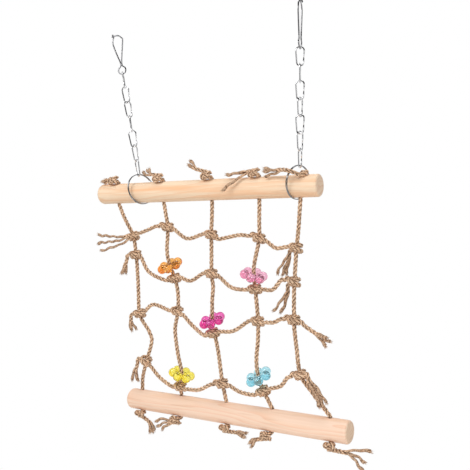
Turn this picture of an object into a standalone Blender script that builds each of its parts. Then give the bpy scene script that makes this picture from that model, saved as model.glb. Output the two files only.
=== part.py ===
"""Bird climbing net: two wooden perches joined by a knotted rope net, hung on two chains.

Metres, +Z up, +X along the upper perch. The origin is on the line that the hooks hang from,
above the middle of the upper perch.
"""
import math

import bmesh
import bpy
from mathutils import Matrix, Vector

MM = 0.001
SEAT_GAP = 0.3 * MM
WOUND_GAP = 0.45 * MM

# Perches: dowels with end holes set in from the left and right ends, and the other holes, drilled
# by hand, at uneven shares of the way between those
PERCH_DIAMETER = 24.0 * MM
PERCH_LENGTH = 280.0 * MM
PERCH_EDGE_ROUND = 3.0 * MM
PERCH_SPACING = 243.5 * MM
LOWER_PERCH_SHIFT = 36.0 * MM
LOWER_PERCH_TWIST = math.radians(-4.5)
UPPER_HOLE_INSETS = (25.0 * MM, 21.8 * MM)
LOWER_HOLE_INSETS = (15.6 * MM, 21.6 * MM)
UPPER_HOLE_SHARES = (0.0, 0.2744, 0.5489, 0.7976, 1.0)
LOWER_HOLE_SHARES = (0.0, 0.238, 0.490, 0.727, 1.0)

# Rope
ROPE_DIAMETER = 4.4 * MM
HOLE_CLEARANCE = 0.35 * MM
ROPE_STEP = 10.0 * MM
WRAP_POINTS = 10

# Snap hooks, bent from one spring wire, with one leg as the sprung gate
HOOK_WIRE = 1.6 * MM
HOOK_HEIGHT = 47.0 * MM
HOOK_EYE_RADIUS = 4.7 * MM
HOOK_WAIST_HEIGHT = 13.0 * MM
HOOK_WAIST_HALF = 1.1 * MM
HOOK_WAIST_STRAIGHT = 2.4 * MM
HOOK_CROWN_HALF = 6.4 * MM
HOOK_CROWN_RISE = 7.5 * MM
HOOK_TIP_SLOPE = 0.1
LATCH_GAP = 0.4 * MM
LATCH_OVERLAP = 1.8 * MM
LEFT_HOOK_YAW = 20.0
RIGHT_HOOK_YAW = 105.0

# Chains: the left one leans outward, and each link is turned as it hangs
LINK_COUNT = 7
LINK_WIRE = 1.6 * MM
LINK_LENGTH = 21.3 * MM
LINK_TOP_WIDTH = 10.2 * MM
LINK_BOTTOM_WIDTH = 8.6 * MM
CHAIN_LEAN = math.radians(11.0)
LEFT_LINK_YAWS = (-60.0, 6.0, 68.0, 130.0, 20.0, 85.0, 150.0)
RIGHT_LINK_YAWS = (28.0, 110.0, 15.0, 80.0, 8.0, 72.0, -45.0)

# Split rings round the upper perch. The right one leans, with its foot beside the last hole
RING_DIAMETER = 36.0 * MM
RING_WIRE = 1.0 * MM
RING_SPLIT = math.radians(35.0)
RING_JOG = math.radians(25.0)
LEFT_RING_INSET = 60.5 * MM
LEFT_RING_YAW = -20.0
RIGHT_RING_OFFSET = -5.0 * MM
RIGHT_RING_YAW = -18.0
RIGHT_RING_LEAN = math.radians(7.5)

# Flower beads on the vertical ropes
BEAD_PETALS = 6
BEAD_PETAL_RADIUS = 5.2 * MM
BEAD_PETAL_CIRCLE = 10.0 * MM
BEAD_HUB_HEIGHT = 4.0 * MM
BEAD_BORE_CLEARANCE = 2.8 * MM
BEAD_POINTS_PER_PETAL = 6
BEAD_CLEARANCE = 0.45 * MM

# Vertical ropes: shares of the way down the net, with how far the rope strays to the right of the
# straight line between its two holes, in millimetres
VERTICAL_ROUTES = (
    ((0.078, 6), (0.174, 15), (0.275, 15.5), (0.421, 13.5), (0.591, 10), (0.687, 20.5), (0.742, 22),
     (0.847, 11), (0.934, 3)),
    ((0.064, 1.5), (0.128, 2.5), (0.247, -1.5), (0.321, 0), (0.389, 5), (0.463, 8), (0.568, 5.5),
     (0.664, -0.5), (0.770, 0), (0.884, 3), (0.953, 0.5)),
    ((0.092, -2), (0.169, -4), (0.366, -7), (0.431, -6.5), (0.513, -9), (0.646, -11), (0.697, -7.5),
     (0.797, -5), (0.916, -3)),
    ((0.092, -1.5), (0.188, -3), (0.293, -9.5), (0.353, -12), (0.421, -11.5), (0.513, -10.5),
     (0.591, -10.5), (0.673, -11.5), (0.770, -15), (0.838, -14.5), (0.907, -10.5)),
    ((0.115, -5.3), (0.234, -11.7), (0.394, -19.2), (0.573, -25.4), (0.696, -26.7), (0.825, -26),
     (0.902, -15.5), (0.962, -5.7)),
)

# Cross ropes: how far down each vertical rope the knots are, as shares. Between knots, shares of the
# way across with the rise above the straight line. Tails go from the end knots to the right and up
KNOT_SHARES = (
    (0.174, 0.128, 0.169, 0.188, 0.234),
    (0.275, 0.394, 0.366, 0.435, 0.394),
    (0.591, 0.568, 0.664, 0.591, 0.573),
    (0.847, 0.960, 0.916, 0.924, 0.825),
)
SPANS = (
    (((0.5, 2),), ((0.5, -8.5),), ((0.2, -4), (0.62, 2)), ((0.5, -5),)),
    (((0.4, -8.5),), ((0.5, -5),), ((0.5, -6),), ((0.5, -4),)),
    (((0.42, 10),), ((0.48, -3.5),), ((0.5, -3.5),), ((0.5, -1),)),
    (((0.46, -4.5),), ((0.48, -4),), ((0.48, -4),), ((0.52, -2.5),)),
)
LEFT_TAILS = (
    ((-50, -8), (-32, -6.5), (-16, -5)),
    ((-18, -24), (-16, -13), (-12, -3)),
    ((-8, -22), (-12, -12), (-11, -2)),
    ((-15, -23), (-16, -12), (-12, -2)),
)
RIGHT_TAILS = (
    ((-11, -10), (-16, -20), (-20, -30)),
    ((-10, -11), (-15, -23), (-21, -34)),
    ((14.5, -5), (28.5, -13), (40.5, -20)),
    ((11, -4), (20, -15), (27, -28)),
)
RIGHT_TAIL_BEHIND = (True, True, False, False)

# Stopper knots: the side to which the rope lies down first, 1 for the left, and whether it passes
# over itself. The one inside the right ring is left open. Then the tail's points from the hole: along
# the perch, towards the viewer and away from the perch axis, in millimetres
UPPER_STOPPERS = (
    (1, True, ((-16, 5, 15.5), (-22, 5, 16))),
    (1, True, ((-17, 3, 21), (-24, 0, 27))),
    (1, True, ((-19, 4, 24), (-28, 3, 30))),
    (1, True, ((-24, 8, 15.5), (-41, 9, 14))),
    (-1, False, ((-3, 20, 14), (-12, 18.5, 16), (-24, 13.5, 15.5), (-37, 12, 15.5))),
)
LOWER_STOPPERS = (
    (-1, True, ((16, 5.5, 24), (21, 6, 33))),
    (1, True, ((-20, 6, 21), (-30, 6, 27))),
    (-1, True, ((21, 6, 17.5), (31, 7, 17))),
    (1, True, ((-17, 6, 22), (-24, 6, 28))),
    (-1, True, ((24, 6, 19), (35, 6, 22), (46, 6, 28))),
)

# Beads: colour name, vertical rope and the cross rope below, then tilts with the right side up and
# towards the viewer, and how far the bead is turned on its own axis
BEADS = (
    ("orange", 1, 1, 13.0, 24.0, 43.0),
    ("pink", 3, 1, -18.0, 10.0, 40.0),
    ("magenta", 2, 2, 11.0, 22.5, 45.0),
    ("yellow", 1, 3, -20.0, 4.0, 36.0),
    ("blue", 3, 3, 19.0, 23.5, 48.0),
)
BEAD_COLOURS = {
    "orange": (0.95, 0.36, 0.03, 1.0),
    "pink": (0.95, 0.35, 0.55, 1.0),
    "magenta": (0.80, 0.02, 0.28, 1.0),
    "yellow": (0.93, 0.75, 0.05, 1.0),
    "blue": (0.15, 0.65, 0.85, 1.0),
}

# Values worked out from the sizes above
PERCH_RADIUS = PERCH_DIAMETER / 2
UPPER_HOLE_SPAN = PERCH_LENGTH - sum(UPPER_HOLE_INSETS)
LOWER_HOLE_SPAN = PERCH_LENGTH - sum(LOWER_HOLE_INSETS)
UPPER_FIRST_HOLE = UPPER_HOLE_INSETS[0] - PERCH_LENGTH / 2
LOWER_FIRST_HOLE = LOWER_HOLE_INSETS[0] - PERCH_LENGTH / 2
UPPER_HOLES = [UPPER_FIRST_HOLE + UPPER_HOLE_SPAN * share for share in UPPER_HOLE_SHARES]
LOWER_HOLES = [LOWER_FIRST_HOLE + LOWER_HOLE_SPAN * share for share in LOWER_HOLE_SHARES]
LEFT_RING_FOOT = LEFT_RING_INSET - PERCH_LENGTH / 2
RIGHT_RING_FOOT = UPPER_HOLES[-1] + RIGHT_RING_OFFSET
ROPE_RADIUS = ROPE_DIAMETER / 2
HOLE_RADIUS = ROPE_RADIUS + HOLE_CLEARANCE
HINGE_OFFSET = PERCH_RADIUS + 2 * SEAT_GAP
WRAP_RADIUS = (ROPE_DIAMETER + SEAT_GAP) / math.cos(math.pi / WRAP_POINTS)
WRAP_PITCH = ROPE_DIAMETER + 5 * WOUND_GAP
KNOT_LEAD = 2 * ROPE_DIAMETER
KNOT_FALL = 0.5 * ROPE_DIAMETER
STOPPER_REST = PERCH_RADIUS + SEAT_GAP + ROPE_RADIUS
STOPPER_LAYER = ROPE_DIAMETER + 1.5 * WOUND_GAP
STOPPER_BEND = 1.4 * ROPE_RADIUS
STOPPER_RADIUS = 2.45 * ROPE_RADIUS
STOPPER_TURN = 1.2 * ROPE_RADIUS
LEG_OFFSET = (HOOK_WIRE + LATCH_GAP) / 2
LINK_REACH = LINK_LENGTH - LINK_WIRE
LINK_ADVANCE = LINK_REACH - LINK_WIRE - SEAT_GAP
HOOK_SEAT = (HOOK_WIRE + LINK_WIRE) / 2 + SEAT_GAP
RING_RADIUS = (RING_DIAMETER - RING_WIRE) / 2
RING_PITCH = RING_WIRE + WOUND_GAP
RING_SEAT = (LINK_WIRE + RING_WIRE + RING_PITCH) / 2
RING_FOOT_DROP = PERCH_RADIUS + SEAT_GAP + RING_WIRE / 2

LEFT_DOWN = Vector((math.sin(CHAIN_LEAN), 0.0, -math.cos(CHAIN_LEAN)))
LEFT_TURN = Matrix.Rotation(-CHAIN_LEAN, 4, "Y")
RIGHT_DOWN = Vector((-math.sin(RIGHT_RING_LEAN), 0.0, -math.cos(RIGHT_RING_LEAN)))
RIGHT_RING_TURN = Matrix.Rotation(RIGHT_RING_LEAN, 4, "Y")

EYE_Z = -(HOOK_HEIGHT - HOOK_WIRE / 2)
FIRST_PIVOT_Z = EYE_Z + HOOK_SEAT
PIVOT_DROP = LINK_ADVANCE * math.cos(CHAIN_LEAN)
RING_PIVOT_TRAVEL = (LINK_COUNT - 1) * LINK_ADVANCE + LINK_REACH - RING_SEAT
RING_PIVOT_Z = FIRST_PIVOT_Z - RING_PIVOT_TRAVEL * math.cos(CHAIN_LEAN)
LEFT_RING_REACH = 2 * RING_RADIUS * math.cos(CHAIN_LEAN)
LEFT_RING_EDGE = RING_PITCH / 2 * math.sin(CHAIN_LEAN)
PERCH_Z = RING_PIVOT_Z - LEFT_RING_REACH + LEFT_RING_EDGE + RING_FOOT_DROP
LOWER_PERCH_Z = PERCH_Z - PERCH_SPACING
NET_TOP_Z = PERCH_Z - HINGE_OFFSET
NET_HEIGHT = PERCH_SPACING - 2 * HINGE_OFFSET
LEFT_RING_TOP_X = LEFT_RING_FOOT - 2 * RING_RADIUS * math.sin(CHAIN_LEAN)
LEFT_CHAIN_X = LEFT_RING_TOP_X - RING_PIVOT_TRAVEL * math.sin(CHAIN_LEAN)
RIGHT_CHAIN_X = RIGHT_RING_FOOT + 2 * RING_RADIUS * math.sin(RIGHT_RING_LEAN)
LOWER_TURN = Matrix.Rotation(LOWER_PERCH_TWIST, 4, "Z")
LOWER_CENTRE = Vector((LOWER_PERCH_SHIFT, 0.0, LOWER_PERCH_Z))


def make_material(name, colour, roughness, metallic=0.0, transmission=0.0):
    material = bpy.data.materials.new(name)
    material.use_nodes = True
    shader = material.node_tree.nodes["Principled BSDF"]
    shader.inputs["Base Color"].default_value = colour
    shader.inputs["Roughness"].default_value = roughness
    shader.inputs["Metallic"].default_value = metallic
    shader.inputs["Transmission Weight"].default_value = transmission
    return material


def add_object(name, data, material, origin, parent=None):
    piece = bpy.data.objects.new(name, data)
    bpy.context.scene.collection.objects.link(piece)
    data.materials.append(material)
    piece.location = origin
    if parent is not None:
        piece.parent = parent
        piece.location = Vector(origin) - parent.location
    return piece


def add_axis(name, origin):
    """An empty on a joint's axis, which carries the pieces that turn about it."""
    axis = bpy.data.objects.new(name, None)
    bpy.context.scene.collection.objects.link(axis)
    axis.location = origin
    return axis


def tube_data(name, points, diameter, resolution, cyclic=False, radii=None):
    curve = bpy.data.curves.new(name, "CURVE")
    curve.dimensions = "3D"
    curve.bevel_depth = diameter / 2
    curve.bevel_resolution = resolution
    curve.use_fill_caps = not cyclic
    spline = curve.splines.new("POLY")
    spline.points.add(len(points) - 1)
    for index, point in enumerate(points):
        spline.points[index].co = (*point, 1.0)
        spline.points[index].radius = radii[index] if radii else 1.0
    spline.use_cyclic_u = cyclic
    spline.use_smooth = True
    return curve


def add_tube(name, points, diameter, material, origin, parent=None, resolution=1, radii=None):
    local = [Vector(point) - Vector(origin) for point in points]
    data = tube_data(name, local, diameter, resolution, radii=radii)
    return add_object(name, data, material, origin, parent)


def curve_point(before, start, end, after, share):
    """A point on the Catmull-Rom curve from start to end."""
    slope_in = (end - before) / 2
    slope_out = (after - start) / 2
    square = share * share
    cube = square * share
    return (
        start * (2 * cube - 3 * square + 1)
        + slope_in * (cube - 2 * square + share)
        + end * (3 * square - 2 * cube)
        + slope_out * (cube - square)
    )


def smooth_route(points, step):
    """Points at about equal steps along the smooth curve through the given points."""
    points = [Vector(point) for point in points]
    padded = [2 * points[0] - points[1], *points, 2 * points[-1] - points[-2]]
    dense = [points[0]]
    for index in range(len(points) - 1):
        corners = padded[index:index + 4]
        dense += [curve_point(*corners, share / 16) for share in range(1, 17)]
    lengths = [0.0]
    for first, second in zip(dense, dense[1:]):
        lengths.append(lengths[-1] + (second - first).length)
    count = max(2, round(lengths[-1] / step))
    route = []
    place = 0
    for index in range(count + 1):
        target = lengths[-1] * index / count
        while place < len(dense) - 2 and lengths[place + 1] < target:
            place += 1
        share = (target - lengths[place]) / (lengths[place + 1] - lengths[place])
        route.append(dense[place].lerp(dense[place + 1], share))
    return route


def least_self_gap(points, diameter):
    """Least clear distance of a tube to itself, measured between points over 3 diameters apart along it."""
    fine = []
    for first, second in zip(points, points[1:]):
        fine += [first.lerp(second, share / 4) for share in range(4)]
    along = [0.0]
    for first, second in zip(fine, fine[1:]):
        along.append(along[-1] + (second - first).length)
    least = math.inf
    for index, point in enumerate(fine):
        for other in range(index + 1, len(fine)):
            if along[other] - along[index] > 3 * diameter:
                least = min(least, (fine[other] - point).length)
    return least - diameter


def upper_hole(index, away):
    """A point on an upper hole's axis, this far above the perch axis."""
    return Vector((UPPER_HOLES[index], 0.0, PERCH_Z + away))


def lower_hole(index, away):
    """A point on a lower hole's axis, this far below the perch axis."""
    return LOWER_CENTRE + LOWER_TURN @ Vector((LOWER_HOLES[index], 0.0, -away))


def vertical_route(index):
    top = upper_hole(index, -HINGE_OFFSET)
    bottom = lower_hole(index, -HINGE_OFFSET)
    middle = []
    for share, stray in VERTICAL_ROUTES[index]:
        middle.append(top.lerp(bottom, share) + Vector((stray * MM, 0.0, 0.0)))
    return smooth_route([top, *middle, bottom], ROPE_STEP / 5)


def route_frame(route, share):
    """The point of a vertical route at this share of the way down, and its upward direction."""
    z = NET_TOP_Z - share * NET_HEIGHT
    for above, below in zip(route, route[1:]):
        if below.z <= z:
            share = (above.z - z) / (above.z - below.z)
            return above.lerp(below, share), (above - below).normalized()
    return route[-1], (route[-2] - route[-1]).normalized()


def build_perch(name, material, axis, turn, holes):
    """A dowel with rounded end edges and a row of drilled holes."""
    mesh = bpy.data.meshes.new(name)
    form = bmesh.new()
    bmesh.ops.create_cone(
        form, cap_ends=True, segments=28, radius1=PERCH_RADIUS, radius2=PERCH_RADIUS,
        depth=PERCH_LENGTH, matrix=Matrix.Rotation(math.pi / 2, 4, "Y"),
    )
    rims = [edge for edge in form.edges if abs(edge.verts[0].co.x - edge.verts[1].co.x) < MM]
    bmesh.ops.bevel(form, geom=rims, offset=PERCH_EDGE_ROUND, segments=2, profile=0.5, affect="EDGES")
    form.to_mesh(mesh)
    form.free()
    mesh.shade_smooth()
    mesh.set_sharp_from_angle(angle=math.radians(40))
    perch = add_object(name, mesh, material, axis.location, axis)
    perch.matrix_local = turn
    for number, hole in enumerate(holes, 1):
        cut_hole(perch, f"{name}_hole_{number}", hole)
    return perch


def cut_hole(perch, name, place):
    mesh = bpy.data.meshes.new(name)
    form = bmesh.new()
    bmesh.ops.create_cone(
        form, cap_ends=True, segments=12, radius1=HOLE_RADIUS, radius2=HOLE_RADIUS,
        depth=2 * PERCH_DIAMETER, matrix=Matrix.Translation((place, 0.0, 0.0)),
    )
    form.to_mesh(mesh)
    form.free()
    cutter = bpy.data.objects.new(name, mesh)
    bpy.context.scene.collection.objects.link(cutter)
    cutter.parent = perch
    cutter.hide_render = True
    cutter.display_type = "WIRE"
    cut = perch.modifiers.new(name, "BOOLEAN")
    cut.operation = "DIFFERENCE"
    cut.object = cutter


def link_outline():
    """Centreline of one link, from its top wire at the origin: two end arcs joined by straight sides."""
    top_radius = (LINK_TOP_WIDTH - LINK_WIRE) / 2
    bottom_radius = (LINK_BOTTOM_WIDTH - LINK_WIRE) / 2
    top = Vector((0.0, 0.0, -top_radius))
    bottom = Vector((0.0, 0.0, bottom_radius - LINK_REACH))
    taper = math.asin((top_radius - bottom_radius) / (top.z - bottom.z))
    points = []
    for centre, radius, start, end in (
        (top, top_radius, -taper, math.pi + taper),
        (bottom, bottom_radius, math.pi + taper, 2 * math.pi - taper),
    ):
        for index in range(8):
            angle = start + (end - start) * index / 7
            points.append(centre + radius * Vector((math.cos(angle), 0.0, math.sin(angle))))
    return points


def left_pivot(index):
    """Top wire of a left link, on the leaning line of the left chain."""
    start = Vector((LEFT_CHAIN_X, 0.0, FIRST_PIVOT_Z))
    return start + LEFT_DOWN * (index * LINK_ADVANCE)


def right_pivot(index):
    """Top wire of a right link, level with its partner in the left chain."""
    return Vector((RIGHT_CHAIN_X, 0.0, FIRST_PIVOT_Z - index * PIVOT_DROP))


def build_chains(material):
    data = tube_data("chain_link", link_outline(), LINK_WIRE, 1, cyclic=True)
    data.materials.append(material)
    for index in range(LINK_COUNT):
        for side, pivot, turn, yaws in (
            ("left", left_pivot(index), LEFT_TURN, LEFT_LINK_YAWS),
            ("right", right_pivot(index), Matrix.Identity(4), RIGHT_LINK_YAWS),
        ):
            link = bpy.data.objects.new(f"{side}_chain_link_{index + 1}", data)
            bpy.context.scene.collection.objects.link(link)
            spin = Matrix.Rotation(math.radians(yaws[index]), 4, "Z")
            link.matrix_world = Matrix.Translation(pivot) @ turn @ spin


def ring_points():
    """A split ring about the X axis: two flat turns joined by one jog, with the ends beside the jog."""
    points = []
    start = RING_SPLIT
    end = 4 * math.pi - RING_SPLIT
    count = 46
    for index in range(count + 1):
        angle = start + (end - start) * index / count
        share = (angle - 2 * math.pi + RING_JOG) / (2 * RING_JOG)
        share = min(1.0, max(0.0, share))
        side = (share * share * (3 - 2 * share) - 0.5) * RING_PITCH
        points.append(Vector((side, RING_RADIUS * math.cos(angle), RING_RADIUS * math.sin(angle))))
    return points


def build_rings(material):
    points = ring_points()
    print(f"split ring: least gap to itself {least_self_gap(points, RING_WIRE) / MM:.2f} mm")
    for side, x, down, lean, yaw in (
        ("left", LEFT_RING_TOP_X, LEFT_DOWN, LEFT_TURN, LEFT_RING_YAW),
        ("right", RIGHT_CHAIN_X, RIGHT_DOWN, RIGHT_RING_TURN, RIGHT_RING_YAW),
    ):
        pivot = Vector((x, 0.0, RING_PIVOT_Z))
        turn = lean @ Matrix.Rotation(math.radians(yaw), 4, "Z")
        placed = [pivot + down * RING_RADIUS + turn @ point for point in points]
        add_tube(f"{side}_split_ring", placed, RING_WIRE, material, pivot)


def crown_centre():
    return HOOK_HEIGHT - HOOK_CROWN_RISE


def hook_points():
    """Fixed part of a hook: eye, standing leg and crown, in its own plane (u, leg offset, v)."""
    points = []
    for index in range(11):
        share = index / 10
        angle = math.radians(145.0 + 250.0 * share)
        u = HOOK_EYE_RADIUS * math.cos(angle)
        v = HOOK_EYE_RADIUS * (1 + math.sin(angle))
        points.append(Vector((u, LEG_OFFSET * (1 - 2 * share), v)))
    waist_end = HOOK_WAIST_HEIGHT - LATCH_GAP
    points.insert(0, Vector((-HOOK_WAIST_HALF, LEG_OFFSET, waist_end - HOOK_WAIST_STRAIGHT)))
    points.insert(0, Vector((-HOOK_WAIST_HALF, LEG_OFFSET, waist_end)))
    points.append(Vector((HOOK_WAIST_HALF, -LEG_OFFSET, HOOK_WAIST_HEIGHT)))
    for angle in (0.0, 30.0, 60.0, 90.0):
        u = HOOK_CROWN_HALF * math.cos(math.radians(angle))
        v = crown_centre() + HOOK_CROWN_RISE * math.sin(math.radians(angle))
        points.append(Vector((u, -LEG_OFFSET, v)))
    latch = latch_point()
    points.append(latch)
    points.append(latch + LATCH_OVERLAP * Vector((-1.0, 0.0, -HOOK_TIP_SLOPE)))
    return smooth_route(points, 2.6 * MM)


def latch_point():
    """Where the gate's curl holds the crown's tip."""
    u = -HOOK_CROWN_HALF * 0.66
    return Vector((u, -LEG_OFFSET, HOOK_HEIGHT + u * HOOK_TIP_SLOPE))


def gate_points():
    """Sprung leg of a hook, which ends in a curl round the crown's tip."""
    latch = latch_point()
    leg = [
        Vector((-HOOK_WAIST_HALF, LEG_OFFSET, HOOK_WAIST_HEIGHT)),
        Vector((-HOOK_WAIST_HALF, LEG_OFFSET, HOOK_WAIST_HEIGHT + HOOK_WAIST_STRAIGHT)),
        Vector((-HOOK_CROWN_HALF * 0.62, LEG_OFFSET, (HOOK_WAIST_HEIGHT + crown_centre()) / 2)),
        Vector((-HOOK_CROWN_HALF, LEG_OFFSET, crown_centre())),
        Vector((latch.x, LEG_OFFSET, latch.z)),
    ]
    points = smooth_route(leg, 4.0 * MM)
    for index in range(1, 7):
        angle = math.radians(34.0 * index)
        curl = 2 * LEG_OFFSET * Vector((0.0, math.cos(angle), math.sin(angle)))
        points.append(latch + curl)
    return points


def build_hooks(material):
    left_eye = left_pivot(0) + LEFT_DOWN * HOOK_SEAT
    right_eye = Vector((RIGHT_CHAIN_X, 0.0, EYE_Z))
    for side, eye, turn, yaw in (
        ("left", left_eye, LEFT_TURN, LEFT_HOOK_YAW),
        ("right", right_eye, Matrix.Identity(4), RIGHT_HOOK_YAW),
    ):
        place = Matrix.Translation(eye) @ turn @ Matrix.Rotation(math.radians(yaw), 4, "Z")
        body = [place @ point for point in hook_points()]
        gate = [place @ point for point in gate_points()]
        add_tube(f"{side}_snap_hook", body, HOOK_WIRE, material, eye)
        add_tube(f"{side}_hook_gate", gate, HOOK_WIRE, material, gate[0])


def build_vertical_ropes(routes, material, axis):
    """Middle lengths of the vertical ropes, with rounded ends on the two swing axes."""
    for index, route in enumerate(routes):
        inner = smooth_route(route[2:-2:5] + [route[-3]], ROPE_STEP)
        points = [*rope_nose(route[0], route[1]), *inner, *reversed(rope_nose(route[-1], route[-2]))]
        radii = [0.4, 0.8, *[1.0] * (len(points) - 4), 0.8, 0.4]
        add_tube(
            f"vertical_rope_{index + 1}", points, ROPE_DIAMETER, material, route[0], axis,
            resolution=2, radii=radii,
        )


def rope_nose(end, inside):
    """Points of a rounded rope end whose centre is on the swing axis."""
    outward = (end - inside).normalized()
    return [end + outward * (ROPE_RADIUS * share) for share in (0.92, 0.6, 0.0)]


def knot_points(centre, up, turns):
    """Turns of a cross rope round a vertical rope, coming in at the front and going down."""
    side = Vector((1.0, 0.0, 0.0))
    side = (side - up * side.dot(up)).normalized()
    front = -up.cross(side)
    count = round(WRAP_POINTS * turns)
    points = []
    for index in range(count + 1):
        turn = index / WRAP_POINTS
        angle = 2 * math.pi * turn
        round_rope = (front * math.cos(angle) + side * math.sin(angle)) * WRAP_RADIUS
        points.append(centre + round_rope + up * (WRAP_PITCH * (0.5 - turn)))
    return points, side


def tail_points(knot, tail, forward):
    return [knot + Vector((x * MM, -forward, z * MM)) for x, z in tail]


def span_points(start, end, span):
    points = []
    for share, rise in span:
        points.append(start.lerp(end, share) + Vector((0.0, -WRAP_RADIUS, rise * MM)))
    return points


def cross_route(row, routes):
    """One cross rope: left tail, a hitch on each vertical rope with spans between, right tail."""
    knots = [route_frame(route, share) for route, share in zip(routes, KNOT_SHARES[row])]
    behind = RIGHT_TAIL_BEHIND[row]
    points = []
    span = tail_points(knots[0][0], LEFT_TAILS[row], WRAP_RADIUS)
    for column, (centre, up) in enumerate(knots):
        last = column == len(knots) - 1
        knot, across = knot_points(centre, up, 1.5 if last and behind else 1.0)
        lead = across * KNOT_LEAD + up * KNOT_FALL
        points += smooth_route([*span, knot[0] - lead, knot[0]], ROPE_STEP)[:-1] + knot
        if not last:
            span = span_points(centre, knots[column + 1][0], SPANS[row][column])
        else:
            span = tail_points(centre, RIGHT_TAILS[row], -WRAP_RADIUS if behind else WRAP_RADIUS)
        leave = -across * KNOT_LEAD if last and behind else lead
        span = [knot[-1], knot[-1] + leave, *span]
    points += smooth_route(span, ROPE_STEP)[1:]
    return remove_repeats(points)


def remove_repeats(points):
    """Leaves out points that lie closer than half a rope's width to the one before."""
    kept = [points[0]]
    for point in points[1:]:
        if (point - kept[-1]).length > ROPE_RADIUS:
            kept.append(point)
    return kept


def build_cross_ropes(routes, material, axis):
    for row in range(len(KNOT_SHARES)):
        points = cross_route(row, routes)
        gap = least_self_gap(points, ROPE_DIAMETER)
        print(f"cross rope {row + 1}: least gap to itself {gap / MM:.2f} mm")
        add_tube(f"cross_rope_{row + 1}", points, ROPE_DIAMETER, material, axis.location, axis)


def on_perch(along, around, layer):
    """A point of a rope laid on a perch, in its hole's frame: along the perch, towards the viewer, away."""
    angle = around / STOPPER_REST
    away = STOPPER_REST + STOPPER_LAYER * layer
    return Vector((along, away * math.sin(angle), away * math.cos(angle)))


def stopper_coil(over):
    """Where a stopper knot lies on its perch: along it, around it and in which layer.

    The rope lies down to the left of its hole and goes round by the left, the front and the right.
    Then it passes over itself to the left again. A knot left open stops at the front.
    """
    coil = []
    first, last = math.radians(270.0), math.radians(40.0 if over else 90.0)
    for index in range(1, 7):
        angle = first + (last - first) * index / 6
        along = STOPPER_RADIUS * math.cos(angle) - STOPPER_BEND
        layer = max(0.0, math.radians(90.0) - angle) / math.radians(112.0)
        coil.append((along, STOPPER_RADIUS * (1 + math.sin(angle)), layer))
    if over:
        inner = STOPPER_RADIUS - STOPPER_TURN
        centre_along = inner * math.cos(last) - STOPPER_BEND
        centre_around = STOPPER_RADIUS + inner * math.sin(last)
        for turned, layer in ((0.0, 0.65), (-45.0, 0.88), (-90.0, 1.0)):
            angle = math.radians(turned)
            along = centre_along + STOPPER_TURN * math.cos(angle)
            coil.append((along, centre_around + STOPPER_TURN * math.sin(angle), layer))
        coil.append((coil[-1][0] - KNOT_LEAD, coil[-1][1], 1.0))
    return coil


def stopper_points(hand, over, tail):
    """A rope end through its hole with its stopper knot and tail, in the hole's frame."""
    points = [Vector((0.0, 0.0, height)) for height in (SEAT_GAP + ROPE_RADIUS - HINGE_OFFSET, 0.0)]
    for turned in (0.0, 45.0, 90.0):
        angle = math.radians(turned)
        along = STOPPER_BEND * (math.cos(angle) - 1)
        points.append(Vector((hand * along, 0.0, STOPPER_REST + STOPPER_BEND * (math.sin(angle) - 1))))
    points += [on_perch(hand * along, around, layer) for along, around, layer in stopper_coil(over)]
    ends = [Vector(point) * MM for point in tail]
    return points + smooth_route([points[-1], *ends], ROPE_STEP)[1:]


def build_stoppers(material, upper_axis, lower_axis):
    """Rope ends through the perches, each with its stopper knot and tail."""
    for side, stoppers, axis, place, turn in (
        ("upper", UPPER_STOPPERS, upper_axis, upper_hole, Matrix.Diagonal((1, -1, 1, 1))),
        ("lower", LOWER_STOPPERS, lower_axis, lower_hole, LOWER_TURN @ Matrix.Diagonal((1, -1, -1, 1))),
    ):
        gaps = []
        for index, (hand, over, tail) in enumerate(stoppers):
            points = stopper_points(hand, over, tail)
            gaps.append(least_self_gap(points, ROPE_DIAMETER))
            centre = place(index, 0.0)
            placed = [centre + turn @ point for point in points]
            add_tube(f"{side}_knot_{index + 1}", placed, ROPE_DIAMETER, material, axis.location, axis)
        print(f"{side} knots: least gap to itself {min(gaps) / MM:.2f} mm")


def petal_reach(angle):
    """Outer radius of the flower in this direction: round petals on a circle."""
    share = (angle * BEAD_PETALS / (2 * math.pi) + 0.5) % 1.0 - 0.5
    off = share * 2 * math.pi / BEAD_PETALS
    across = BEAD_PETAL_CIRCLE * math.sin(off)
    return BEAD_PETAL_CIRCLE * math.cos(off) + math.sqrt(BEAD_PETAL_RADIUS**2 - across**2)


def bead_mesh(name):
    """A ring of ball-shaped petals round a bored hub."""
    bore = (ROPE_DIAMETER + BEAD_BORE_CLEARANCE) / 2
    hub = BEAD_HUB_HEIGHT / 2
    count = BEAD_PETALS * BEAD_POINTS_PER_PETAL
    longest = BEAD_PETAL_CIRCLE + BEAD_PETAL_RADIUS
    form = bmesh.new()
    loops = []
    for index in range(count):
        angle = 2 * math.pi * index / count
        reach = petal_reach(angle)
        thick = BEAD_PETAL_RADIUS * (1 - 2.2 * (1 - reach / longest))
        ridge = reach - BEAD_PETAL_RADIUS
        profile = [
            (bore, -hub), (ridge, -thick), (reach - 0.35 * BEAD_PETAL_RADIUS, -0.75 * thick), (reach, 0.0),
            (reach - 0.35 * BEAD_PETAL_RADIUS, 0.75 * thick), (ridge, thick), (bore, hub),
        ]
        loops.append([
            form.verts.new((radius * math.cos(angle), radius * math.sin(angle), height))
            for radius, height in profile
        ])
    for loop, following in zip(loops, loops[1:] + loops[:1]):
        for place in range(len(loop)):
            after = (place + 1) % len(loop)
            form.faces.new((loop[place], following[place], following[after], loop[after]))
    bmesh.ops.recalc_face_normals(form, faces=form.faces)
    mesh = bpy.data.meshes.new(name)
    form.to_mesh(mesh)
    form.free()
    mesh.shade_smooth()
    return mesh


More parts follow.
